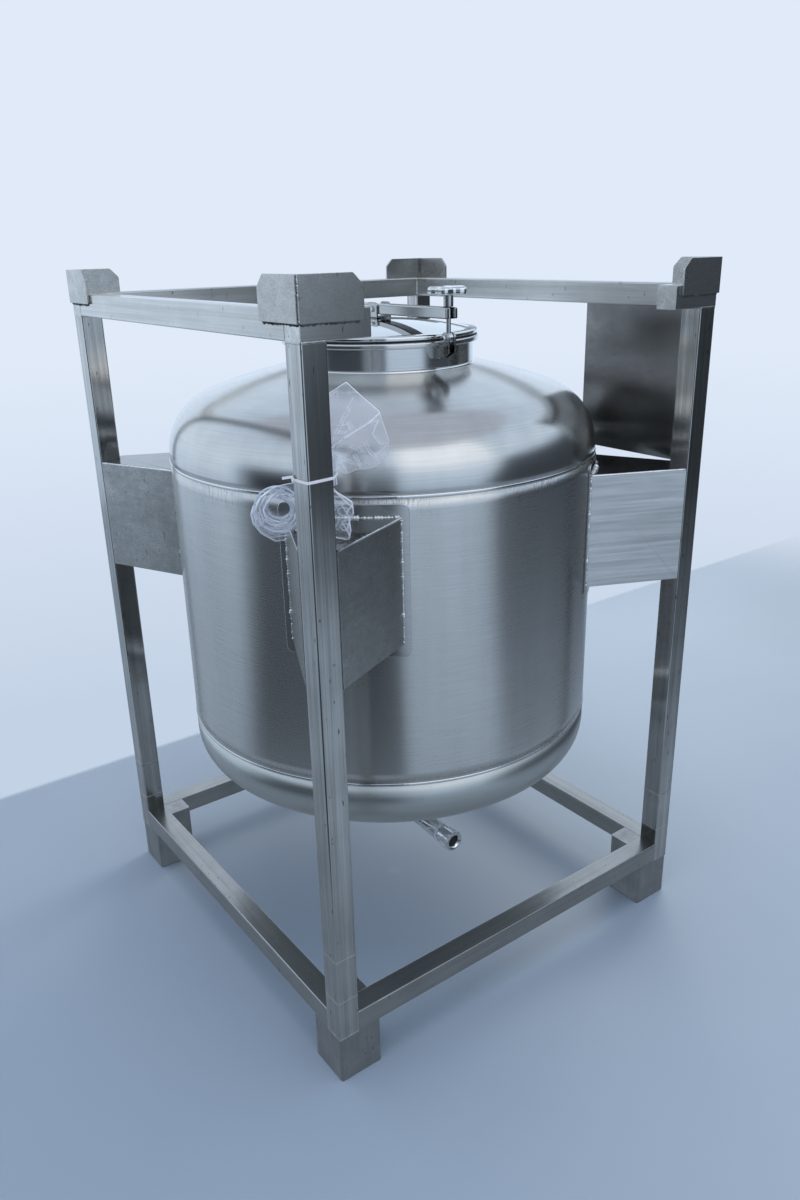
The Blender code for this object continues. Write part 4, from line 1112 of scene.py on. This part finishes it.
# two upright plates with rounded tops on a small base
def makeLidLug():
    low, high = nodeBox("lid_lug")
    deep, middle = high[1] - low[1], (low[1] + high[1]) / 2
    foot, top = clamp["lugFoot"], clamp["lugRound"]
    outline = roundedOutline([(-deep / 2, low[2]), (deep / 2, low[2]), (deep / 2, high[2]),
                              (-deep / 2, high[2])],
                             [foot, foot, top, top], steps=8)
    for letter, side in (("a", -1), ("b", 1)):
        x = side * (high[0] - clamp["lugPlate"] / 2)
        matrix = Matrix(((0, 0, 1, x), (1, 0, 0, middle), (0, 1, 0, 0), (0, 0, 0, 1)))
        slab(f"lid_lug_{letter}", outline, clamp["lugPlate"], clamp["plateEdge"], clampSteel, matrix,
             slot="polished_steel", nodes=["lid_lug"] if letter == "a" else ())
    base = roundedOutline([(high[0], high[1]), (low[0], high[1]), (low[0], low[1]), (high[0], low[1])],
                          clamp["baseRound"])
    slab("lid_lug_base", base, clamp["base"], clamp["baseEdge"], mirrorSteel,
         Matrix.Translation((0, 0, low[2] + clamp["base"] / 2)), slot="polished_steel")


def makeClamp():
    makeArm()
    middle = (armLow[2] + armHigh[2]) / 2
    earPlates("hinge_ear", "arm_hinge", armHigh[0] - armLow[0] + clamp["armGap"], middle, 1)
    earPlates("bolt_ear", "bolt_ears", clamp["boltSlot"], pivot[2], -1)
    makeLidLug()
    for node in ("arm_hinge_pin", "lid_lug_bolt"):
        low, high = nodeBox(node)
        centre, length, radius = (low + high) / 2, high[0] - low[0], (high[2] - low[2]) / 2
        crossRod(node + "_shank", centre, length - pin["shankShort"], radius * pin["shank"], nodes=[node])
        for letter, side in (("a", -1), ("b", 1)):
            place = centre + [side * (length - pin["head"]) / 2, 0, 0]
            hexagon(f"{node}_head_{letter}", place, radius * pin["flats"], pin["head"])


knob = {"bottom": 1.569, "base": 0.0375, "lobe": 0.0055, "lobes": 5, "rim": 0.006, "hub": 0.0105,
        "hubSunk": 0.002, "hubTop": 0.001, "hubFoot": 0.0012}
bolt = {"shank": 0.005, "tip": 0.0008, "root": 0.0002, "eye": 0.011, "eyeHalf": 0.0055, "eyeRound": 0.0012,
        "pitch": 0.00175, "turns": 14, "threadLow": 0.058, "pinRadius": 0.004, "pinShift": 0.002,
        "pinShort": 0.005, "headFlats": 0.0125, "headThick": 0.0065, "headShift": 0.0035}
threadBead = {"width": 0.0013, "height": 0.0005, "ripple": 0, "pitch": 0.006}


# The shank and the eye are turned profiles. The thread under the knob is a ridge that climbs a pitch for each
# turn of t: (r cos t, r sin t, pitch t / 2 pi).
def makeSwingBolt():
    low, high = nodeBox("swing_bolt")
    riding = {"body": "swing_bolt", "slot": "polished_steel"}
    shank, eye, half, soft = (bolt[k] for k in ("shank", "eye", "eyeHalf", "eyeRound"))
    profile = smoothProfile([(0, high[2]), (shank, high[2]), (shank, pivot[2]), (0, pivot[2])],
                            [0, bolt["tip"], bolt["root"], 0])
    turnedSurface("bolt_shank", profile, clampSteel, 48, Matrix.Translation((0, pivot[1], 0)),
                  nodes=["swing_bolt"], **riding)
    t = np.linspace(0, 2 * math.pi * bolt["turns"], 24 * bolt["turns"])
    path = np.column_stack([shank * np.cos(t), pivot[1] + shank * np.sin(t),
                            high[2] - bolt["threadLow"] + bolt["pitch"] * t / (2 * math.pi)])
    normals = np.column_stack([np.cos(t), np.sin(t), np.zeros(len(t))])
    bead("bolt_thread", path, normals, mirrorSteel, **threadBead, **riding)
    profile = smoothProfile([(0, half), (eye, half), (eye, -half), (0, -half)], [0, soft, soft, 0])
    turnedSurface("bolt_eye", profile, mirrorSteel, 64, Matrix.Translation(pivot) @ turnTo["x"], **riding)
    centre = ((low[0] + high[0]) / 2 + bolt["pinShift"], pivot[1], pivot[2])
    crossRod("bolt_pin", centre, high[0] - low[0] - bolt["pinShort"], bolt["pinRadius"], body="swing_bolt")
    hexagon("bolt_pin_head", (low[0] + bolt["headShift"], pivot[1], pivot[2]), bolt["headFlats"],
            bolt["headThick"], body="swing_bolt")


# Round lobes: the radius is base + lobe cos(lobes t). Over its thickness the outline is drawn in as a quarter
# circle above and below, and it ends in flat faces.
def makeKnob():
    low, high = nodeBox("hand_knob")
    riding = {"body": "hand_knob", "slot": "polished_steel"}
    t = np.linspace(0, 2 * math.pi, 240, endpoint=False)
    radius = knob["base"] + knob["lobe"] * np.cos(knob["lobes"] * t)
    outline = np.column_stack([radius * np.cos(t), radius * np.sin(t)])
    slab("knob_star", outline, high[2] - knob["bottom"], knob["rim"], mirrorSteel,
         Matrix.Translation((0, pivot[1], (high[2] + knob["bottom"]) / 2)), nodes=["hand_knob"], **riding)
    hub, top = knob["hub"], knob["bottom"] + knob["hubSunk"]
    profile = smoothProfile([(0, top), (hub, top), (hub, low[2]), (0, low[2])],
                            [0, knob["hubTop"], knob["hubFoot"], 0])
    turnedSurface("knob_hub", profile, clampSteel, 64, Matrix.Translation((0, pivot[1], 0)), **riding)


makeClamp()
makeSwingBolt()
makeKnob()
print("manway and clamp made")


# Outlet

outlet = {"height": 0.237, "radius": 0.019, "wall": 0.0015, "bend": 0.057, "rimThick": 0.0028,
          "coneEnd": 0.0062, "rimRound": 0.0008, "coneRound": 0.002, "neckRound": 0.0002, "shadeDiscDepth": 0.008,
          "shadeDiscHalf": 0.0015, "shadeDiscGap": 0.0002}
outletBead = {"width": 0.005, "height": 0.0008, "ripple": 0.1, "seed": 41}


# A tube carried round a bend: rings of points square to its middle line, outside then back inside. The
# ferrule is a turned profile with a cone behind its rim.
def makeOutlet():
    low, high = nodeBox("outlet_elbow")
    bend, level, radius = outlet["bend"], outlet["height"], outlet["radius"]
    bore = radius - outlet["wall"]
    a = np.radians(np.linspace(0, -90, 40))
    arc = np.column_stack([-bend + bend * np.cos(a), level + bend + bend * np.sin(a)])
    line = np.concatenate([[(0, high[2])], arc, [(low[1], level)]])
    way = unit(np.gradient(line, axis=0))
    way[0], way[-1] = (0, -1), (-1, 0)
    side = np.column_stack([-way[:, 1], way[:, 0]])
    t = np.linspace(0, 2 * math.pi, 64, endpoint=False)
    rings = []
    for around in (radius, bore):
        across = around * np.cos(t)[None, :] * np.ones((len(line), 1))
        up = around * np.sin(t)
        rings.append(np.stack([across, line[:, :1] + side[:, :1] * up, line[:, 1:] + side[:, 1:] * up], -1))
    points = np.concatenate([rings[0], rings[1][::-1]])
    faces = gridFaces(*points.shape[:2], loop=True)
    makePiece("outlet_tube", points, faces, mirrorSteel, nodes=["outlet_elbow"], slot="polished_steel")

    low, high = nodeBox("outlet_ferrule")
    length, rim = high[1] - low[1], high[0]
    profile = smoothProfile([(bore, length), (rim, length), (rim, length - outlet["rimThick"]),
                             (radius, length - outlet["coneEnd"]), (radius, 0), (bore, 0)],
                            [0, outlet["rimRound"], outlet["rimRound"], outlet["coneRound"],
                             outlet["neckRound"], 0])
    lying = Matrix.Rotation(math.radians(90), 4, "X")
    turnedSurface("clamp_ferrule", profile, mirrorSteel, 96, Matrix.Translation((0, high[1], level)) @ lying,
                  nodes=["outlet_ferrule"], slot="polished_steel")
    # a black disc a little way into the bore stands for the shade inside the tube: painted shade, not a part
    plug, half = bore - outlet["shadeDiscGap"], outlet["shadeDiscHalf"]
    turnedSurface("outlet_bore_painted_shade", [(0, half), (plug, half), (plug, -half), (0, -half)], rubber, 64,
                  Matrix.Translation((0, low[1] + outlet["shadeDiscDepth"], level)) @ lying, slot="gasket_rubber")
    ring = circle(96)[:, [0, 2, 1]]
    bead("outlet_weld", ring * radius + [0, high[1], level], ring, mirrorSteel, **outletBead, closed=True,
         slot="polished_steel")


makeOutlet()


# The film is creased along straight segments: with the distance d from each, cover rises as
# exp(-(d / width)^2), and the film stands up as exp(-d / (2.5 width)).
def creases(flat, segments, width):
    covers, ridges = np.zeros(flat.shape[:-1]), np.zeros(flat.shape[:-1])
    for x0, y0, x1, y1, strength in segments:
        start, run = np.array([x0, y0]), np.array([x1 - x0, y1 - y0])
        t = np.clip(((flat - start) @ run) / (run @ run), 0, 1)
        d = np.linalg.norm(flat - start - t[..., None] * run, axis=-1)
        covers = np.maximum(covers, strength * np.exp(-(d / width) ** 2))
        ridges += strength * np.exp(-d / (2.5 * width))
    return covers, ridges


def randomSegments(count, low, high, length, strength, seed):
    rng = np.random.default_rng(seed)
    start = rng.uniform(low, high, (count, 2))
    turn, reach = rng.uniform(0, math.pi, count), rng.uniform(0.4, 1.0, count) * length
    end = start + np.column_stack([np.cos(turn), np.sin(turn)]) * reach[:, None]
    return np.column_stack([start, end, rng.uniform(0.35, 1.0, count) * strength]).tolist()


# The film's wrinkles run round it, each with its own number of waves, and twist along it. Its cover is the
# clear film's, four sharp folds' and that of the creases across it, each given as its place from 0 at the
# start to 1 at the frill, its width and its strength.
wrap = {"start": -0.150, "radius": 0.0215, "pastRim": 0.0015, "wall": 0.0006, "frill": 0.0045,
        "frillFrom": (0.75, 0.3), "wrinkles": 8, "waves": (3, 17), "sizes": (0.0003, 0.0009), "twist": 5,
        "clear": 0.03, "fold": 0.4, "foldTwist": 7, "foldSharpness": 60, "most": 0.9, "seed": 5,
        "creases": ((1, 0.03, 0.6), (0.55, 0.025, 0.8), (0, 0.05, 0.3))}


# film wrapped round the ferrule's neck, with a loose frill past the rim: (r cos t, y, r sin t), out and back
def makeOutletWrap():
    low = nodeBox("outlet_ferrule")[0]
    y = np.linspace(0, 1, 40)[:, None]
    t = np.linspace(0, 2 * math.pi, 160, endpoint=False)[None, :]
    rng = np.random.default_rng(wrap["seed"])
    waves = rng.integers(*wrap["waves"], wrap["wrinkles"])
    sizes = rng.uniform(*wrap["sizes"], wrap["wrinkles"])
    phases = rng.uniform(0, 6.28, wrap["wrinkles"])
    wrinkle = sum(size * np.sin(wave * t + phase + wrap["twist"] * y)
                  for wave, size, phase in zip(waves, sizes, phases))
    outside = wrap["radius"] + wrap["frill"] * rising(y, *wrap["frillFrom"]) + wrinkle * (0.5 + y)
    reach = low[1] + wrap["pastRim"]
    rows = []
    for radius in (outside, outside - wrap["wall"]):
        ring = (radius * np.cos(t), wrap["start"] + (reach - wrap["start"]) * y,
                outlet["height"] + radius * np.sin(t))
        rows.append(np.stack(np.broadcast_arrays(*ring), -1))
    points = np.concatenate([rows[0], rows[1][::-1]])
    folds = np.abs(np.sin(2 * t + wrap["foldTwist"] * y)) ** wrap["foldSharpness"]
    cover = wrap["clear"] + wrap["fold"] * folds
    for at, width, strength in wrap["creases"]:
        cover = cover + strength * np.exp(-((y - at) / width) ** 2)
    cover = np.clip(cover, 0, wrap["most"])
    makePiece("outlet_film_wrap", points, gridFaces(*points.shape[:2], loop=True), film, slot="bag_film",
              marks={"cover": np.concatenate([cover, cover[::-1]])})


makeOutletWrap()
print("outlet made")


# The bag of spare rings and its tie. It hangs across the corner's diagonal: out runs from the tank's axis
# towards the corner, across runs to the right of it as seen from the corner, and height is up.

# Outlines are (across, height) in mm, and creases start, end (the same way) and strength in tenths.
bag = {
    "body": [(14, 1302), (-20, 1296), (-72, 1277), (-100, 1265), (-126, 1245), (-143, 1226), (-149, 1210),
             (-146, 1192), (-132, 1173), (-105, 1158), (-84, 1161), (-66, 1180), (-20, 1184), (18, 1184),
             (33, 1181), (46, 1179), (50, 1198), (48, 1212), (51, 1220), (56, 1228), (55, 1241), (54, 1250),
             (44, 1257), (30, 1268), (20, 1286)],
    "middle": (-0.035, 1.222), "outLeft": 0.602, "outRight": 0.650, "thick": 0.040,
    "bodyCreases": [(22, 1275, 41, 1253, 9), (41, 1253, 54, 1241, 9), (37, 1247, 44, 1232, 8),
                    (44, 1232, 52, 1243, 8), (37, 1247, 45, 1250, 7), (19, 1244, 37, 1246, 6),
                    (19, 1237, 32, 1221, 5), (32, 1221, 21, 1202, 5), (44, 1232, 51, 1222, 8),
                    (35, 1216, 48, 1218, 8), (35, 1216, 42, 1202, 8), (42, 1202, 49, 1184, 9),
                    (48, 1218, 44, 1202, 7), (18, 1182, 41, 1177, 6), (18, 1268, 21, 1237, 7),
                    (-74, 1270, -105, 1245, 10), (-105, 1245, -120, 1221, 9), (-79, 1275, -126, 1243, 8),
                    (-126, 1243, -139, 1218, 7), (-73, 1266, -93, 1247, 8), (-93, 1247, -113, 1227, 8),
                    (-120, 1221, -114, 1205, 9), (-114, 1205, -95, 1196, 9), (-95, 1196, -75, 1201, 8),
                    (-130, 1217, -125, 1194, 7), (-125, 1194, -104, 1181, 8), (-104, 1181, -75, 1185, 8),
                    (-139, 1208, -131, 1180, 6), (-131, 1180, -107, 1169, 7), (-107, 1169, -75, 1176, 6),
                    (-107, 1221, -100, 1231, 6), (-100, 1231, -80, 1237, 7), (-144, 1220, -144, 1188, 6),
                    (-82, 1269, -73, 1254, 5)],
    "neck": (0.6765, 0.0235), "tie": 1.3035,
    # the open end above the tie, whose left part is hidden behind the post
    "mouth": [(-4, 1345), (-10, 1385), (0, 1421), (17.5, 1435), (43.4, 1451), (72, 1427), (102, 1402),
              (106, 1389), (118, 1353), (115, 1329), (98, 1309), (82, 1306), (65, 1306), (46, 1300),
              (31, 1310), (18, 1314), (6, 1318)],
    "mouthCreases": [(102, 1400, 85, 1384, 10), (85, 1384, 47, 1363, 10), (47, 1363, 18, 1343, 9),
                     (56, 1424, 37, 1388, 9), (52, 1407, 35, 1371, 7), (37, 1388, 18, 1348, 6),
                     (33, 1382, 50, 1384, 7), (50, 1384, 55, 1375, 6), (30, 1369, 47, 1371, 7),
                     (47, 1371, 52, 1380, 5), (17, 1429, 28, 1436, 6), (28, 1436, 33, 1415, 4),
                     (85, 1384, 100, 1388, 5), (100, 1388, 91, 1366, 6), (91, 1366, 103, 1349, 6),
                     (103, 1349, 118, 1349, 5), (84, 1338, 103, 1314, 7), (103, 1314, 98, 1307, 5),
                     (61, 1332, 71, 1310, 6), (38, 1332, 44, 1302, 5), (20, 1337, 68, 1314, 6),
                     (17, 1332, 38, 1322, 7), (38, 1322, 49, 1302, 6), (17, 1328, 28, 1312, 6),
                     (69, 1338, 84, 1338, 5), (77, 1353, 84, 1338, 4), (54, 1349, 69, 1338, 4)]}
rootTwo = math.sqrt(2)


def cornerPlace(out, across, height):  # from the bag's own directions to the frame's
    return np.stack(np.broadcast_arrays((across - out) / rootTwo, (-across - out) / rootTwo, height), -1)


# A pouch's outline, in mm, drawn in towards its middle by rho, which falls from 1 to almost 0
def pouchGrid(cornersMm, soft, middle):
    outline = evenOutline(roundedOutline(np.array(cornersMm) / 1000, soft, steps=5), 264)
    rho = np.linspace(1, 0.03, 60)[:, None]
    return np.array(middle) + rho[..., None] * (outline - np.array(middle)), rho


# Front and back of a pouch: its grid puffed out by thick / 2 (1 - rho^2)^0.6, so that both sides meet along
# the outline. The back has half of the front's ridges, the other way round, and shows four fifths of its
# cover.
def pouch(name, flat, rho, middleOut, thick, ridge, cover, nodes=()):
    puff = thick / 2 * np.clip(1 - rho ** 2, 0, 1) ** 0.6
    front = cornerPlace(middleOut + puff + ridge * (1 - rho ** 4), flat[..., 0], flat[..., 1])
    back = cornerPlace(middleOut - puff + 0.5 * ridge[..., ::-1] * (1 - rho ** 4), flat[..., 0], flat[..., 1])
    points = np.concatenate([front[::-1], back[1:]])
    faces = flipped(gridFaces(*points.shape[:2])) + poleFaces(*points.shape[:2])
    points = np.concatenate([points.reshape(-1, 3), [points[0].mean(0), points[-1].mean(0)]])
    values = np.concatenate([cover[::-1], 0.8 * cover[1:]])
    values = np.concatenate([values.ravel(), [values[0].mean(), values[-1].mean()]])
    makePiece(name, points, faces, film, nodes=nodes, slot="bag_film", marks={"cover": values})


def creaseList(rows):
    return [[x0 / 1000, z0 / 1000, x1 / 1000, z1 / 1000, strength / 10] for x0, z0, x1, z1, strength in rows]


# spare rings as middle, radius and place out from the tank's axis; the big ones lie on each other
rings = {"middle": (-0.095, 1.222), "radii": (0.0235, 0.0300, 0.0370, 0.0440), "section": 0.0022, "out": 0.6,
         "apart": 0.002, "squash": 0.9, "tilt": 0.2, "smallSection": 0.0012,
         "small": (((-0.128, 1.199), 0.0075, 0.616), ((0.0365, 1.232), 0.0085, 0.652),
                   ((0.038, 1.203), 0.0075, 0.65))}
# The film over the big rings has ribs at ribSpacing, and a clear hole inside them. A pair is where a smooth
# step lies and how wide it is.
bagBody = {"soft": 0.005, "bend": (-0.02, 0.09), "neckFrom": (1.275, 0.05), "squash": 1.12,
           "lobe": (0.058, 0.012), "ribStart": 0.019, "ribSpacing": 0.0080, "ribsFrom": (0.020, 0.004),
           "hole": (0.0200, 0.004), "holeShift": 0.004, "creaseWidth": 0.0011,
           "random": (18, (-0.15, 1.17), (0.05, 1.28), 0.04, 0.4, 7), "clear": 0.05, "lobeCover": 0.06,
           "ribCover": 0.42, "creaseCover": 0.95, "rimCover": 0.9, "rimWidth": 0.020, "holeClear": 0.95,
           "creaseHeight": 0.0018, "ribHeight": 0.0012, "holeDepth": 0.006}


def makeBagBody():
    look = bagBody
    flat, rho = pouchGrid(bag["body"], look["soft"], bag["middle"])
    across, height = flat[..., 0], flat[..., 1]
    middleOut = bag["outLeft"] + (bag["outRight"] - bag["outLeft"]) * rising(across, *look["bend"])
    middleOut = middleOut + (bag["neck"][0] - middleOut) * rising(height, *look["neckFrom"])
    # the film lies on the rings in soft ribs: |sin| of the distance from their middle over their spacing
    ringAcross, ringHeight = rings["middle"]
    away = np.hypot(across - ringAcross, (height - ringHeight) * look["squash"])
    lobe = falling(away, *look["lobe"])
    ribs = np.abs(np.sin(math.pi * (away - look["ribStart"]) / look["ribSpacing"]))
    ribs = ribs * rising(away, *look["ribsFrom"]) * lobe
    fromHole = np.hypot((across - ringAcross - look["holeShift"]) * 0.80 - (height - ringHeight) * 0.25,
                        (height - ringHeight - look["holeShift"]) * 1.30)
    hole = falling(fromHole, *look["hole"])
    segments = creaseList(bag["bodyCreases"]) + randomSegments(*look["random"])
    crease, ridge = creases(flat, segments, look["creaseWidth"])
    rim = np.exp(-((1 - rho) / look["rimWidth"]) ** 2)
    cover = (look["clear"] + look["lobeCover"] * lobe + look["ribCover"] * ribs ** 6 * lobe
             + look["creaseCover"] * crease + look["rimCover"] * rim)
    cover = np.clip(cover * (1 - look["holeClear"] * hole), 0.01, 0.97)
    bump = look["creaseHeight"] * ridge + look["ribHeight"] * ribs - look["holeDepth"] * hole
    pouch("bag_of_rings", flat, rho, middleOut, bag["thick"], bump, cover, ["bag"])


# The open end fans out in pleats from root, leaning back as it rises. Its front layer ends along foldLine, a
# slope through a point.
bagMouth = {"soft": 0.0022, "middle": (0.052, 1.362), "root": (0.020, 1.318), "out": 0.668, "lean": 0.40,
            "leanReach": 0.15, "wave": 0.004, "thick": 0.022, "pleats": 7.5, "pleatReach": 0.045,
            "foldLine": (0.030, 1.342, 0.55), "foldWidth": 0.006, "creaseWidth": 0.0012,
            "random": (18, (0.0, 1.30), (0.12, 1.44), 0.04, 0.35, 12), "double": 0.24, "singleLess": 0.08,
            "creaseCover": 0.75, "pleatCover": 0.30, "rimCover": 0.65, "rimWidth": 0.013,
            "creaseHeight": 0.0022, "pleatHeight": 0.003}


def makeBagMouth():
    look = bagMouth
    flat, rho = pouchGrid(bag["mouth"], look["soft"], look["middle"])
    across, height = flat[..., 0], flat[..., 1]
    rootAcross, rootHeight = look["root"]
    up = np.hypot(across - rootAcross, height - rootHeight)
    waves = look["wave"] * np.sin(35 * across + 20 * height)
    middleOut = look["out"] - look["lean"] * np.clip(up, 0, look["leanReach"]) + waves
    fan = np.arctan2(height - rootHeight, across - rootAcross)
    pleats = np.abs(np.sin(look["pleats"] * fan)) * np.exp(-up / look["pleatReach"])
    segments = creaseList(bag["mouthCreases"]) + randomSegments(*look["random"])
    crease, ridge = creases(flat, segments, look["creaseWidth"])
    # the front layer ends along the fold to its right, where only the back layer goes on
    foldAcross, foldHeight, slope = look["foldLine"]
    single = smoothStep(((across - foldAcross) * slope - (height - foldHeight)) / look["foldWidth"])
    rim = np.exp(-((1 - rho) / look["rimWidth"]) ** 2)
    cover = (look["double"] - look["singleLess"] * single + look["creaseCover"] * crease
             + look["pleatCover"] * pleats ** 3 + look["rimCover"] * rim)
    ridge = look["creaseHeight"] * ridge + look["pleatHeight"] * pleats
    pouch("bag_mouth", flat, rho, middleOut, look["thick"], ridge, np.clip(cover, 0.05, 0.95))


bagNeck = {"low": 1.286, "high": 1.338, "waist": 0.0088, "flare": 3.2, "pleats": 9, "pleatDepth": 0.16,
           "twist": 12, "twistFrom": 1.3, "cover": 0.45, "pleatCover": 0.4}


# The gathered neck inside the tie is a pleated tube. Its radius is the waist, narrowest at the tie, times
# 1 + pleatDepth cos(pleats t + twist z), and its pleats are milkier outside.
def makeBagNeck():
    out, across = bag["neck"]
    z = np.linspace(bagNeck["low"], bagNeck["high"], 30)[:, None]
    t = np.linspace(0, 2 * math.pi, 144, endpoint=False)[None, :]
    waist = bagNeck["waist"] + bagNeck["flare"] * (z - bag["tie"]) ** 2
    pleats = np.cos(bagNeck["pleats"] * t + bagNeck["twist"] * (z - bagNeck["twistFrom"]))
    radius = waist * (1 + bagNeck["pleatDepth"] * pleats)
    points = cornerPlace(out + radius * np.cos(t), across + radius * np.sin(t), z)
    cover = np.clip(bagNeck["cover"] + bagNeck["pleatCover"] * pleats, 0.1, 0.9)
    makePiece("bag_neck", points, flipped(gridFaces(*cover.shape) + endFaces(*cover.shape)), film,
              slot="bag_film", marks={"cover": cover})


# spare rings in the bag: tubes of round section about the diagonal, each a little turned from the last
def makeRings():
    t = np.linspace(0, 2 * math.pi, 120, endpoint=False)[:, None]
    a = np.linspace(0, 2 * math.pi, 14, endpoint=False)[None, :]
    placed = [(rings["middle"], radius, rings["section"], rings["out"] + rings["apart"] * i)
              for i, radius in enumerate(rings["radii"])]
    placed += [(middle, radius, rings["smallSection"], out) for middle, radius, out in rings["small"]]
    for i, ((across, height), radius, section, out) in enumerate(placed):
        reach = radius + section * np.cos(a)
        tilt = rings["tilt"] * radius * np.sin(t + i)
        points = cornerPlace(out + section * np.sin(a) + tilt, across + reach * np.cos(t),
                             height + rings["squash"] * reach * np.sin(t))
        makePiece(f"spare_ring_{i + 1}", points, flipped(gridFaces(120, 14, loop=True)), silicone,
                  slot="bag_film")


tie = {"gap": 0.0011, "neckRadius": 0.0112, "thick": 0.0014, "wide": 0.0048, "round": 0.0004, "climb": 0.045}
# The head lies on the post's left face and the cut tail stands off behind it. half and tall are their sizes,
# and place is from that face, from the post's rear edge and from the tie's height.
tieEnds = {"head": {"half": (0.0019, 0.003), "round": 0.0008, "steps": 3, "margin": flatMargin,
                    "tall": 0.0062, "edge": 0.0006, "place": (-0.0030, -0.006, -0.001), "turn": 0.0},
           "tail": {"half": (0.0006, 0.019), "round": 0.0003, "steps": 2, "margin": 0.0001, "tall": 0.0046,
                    "edge": 0.0003, "place": (-0.0028, 0.013, -0.0005), "turn": -0.25}}


# The convex outline round points on a plane: it goes through them from left to right and back, and drops each
# one that would make it turn the other way.
def convexOutline(points):
    order = np.lexsort((points[:, 1], points[:, 0]))
    corner = []
    for row in (points[order], points[order[::-1]]):
        chain = []
        for point in row:
            while len(chain) > 1 and np.cross(chain[-1] - chain[-2], point - chain[-2]) <= 0:
                chain.pop()
            chain.append(point)
        corner += chain[:-1]
    return np.array(corner)


# The tie is a flat band round the post and the neck: the convex outline round both, rounded at the post's
# edges, with the band's rectangular section standing on it.
def makeTie():
    half = postWidth / 2
    centre = np.array([1, 1]) * (half - frameHalf)
    square = roundedOutline(rectangle(half + tie["gap"], half + tie["gap"]), tube["corner"], steps=5) + centre
    neck = cornerPlace(bag["neck"][0], bag["neck"][1], 0.0)[:2]
    path = convexOutline(np.concatenate([square, neck + circle(48)[:, :2] * tie["neckRadius"]]))
    outward = -leftOf(path)
    # section corners as (distance out, height), and the band climbs a little towards the open side
    section = roundedOutline(rectangle(tie["thick"] / 2, tie["wide"] / 2), tie["round"], steps=3,
                             margin=0.0001)
    climb = bag["tie"] + tie["climb"] * (path[:, 0] - path[:, 1]) / rootTwo
    rows = path[:, None] + outward[:, None] * section[None, :, :1]
    points = np.concatenate([rows, (climb[:, None] + section[None, :, 1])[..., None]], 2)
    faces = gridFaces(len(path), len(section), loop=True)
    makePiece("tie_band", points, faces, nylon, nodes=["cable_tie"], slot="tie_nylon")
    for part, end in tieEnds.items():
        outline = roundedOutline(rectangle(*end["half"]), end["round"], end["steps"], end["margin"])
        origin = Vector((-frameHalf, postWidth - frameHalf, bag["tie"]))
        matrix = Matrix.Translation(origin + Vector(end["place"])) @ Matrix.Rotation(end["turn"], 4, "X")
        slab("tie_" + part, outline, end["tall"], end["edge"], nylon, matrix, slot="tie_nylon")


makeBagBody()
makeBagMouth()
makeBagNeck()
makeRings()
makeTie()
print("bag and tie made")
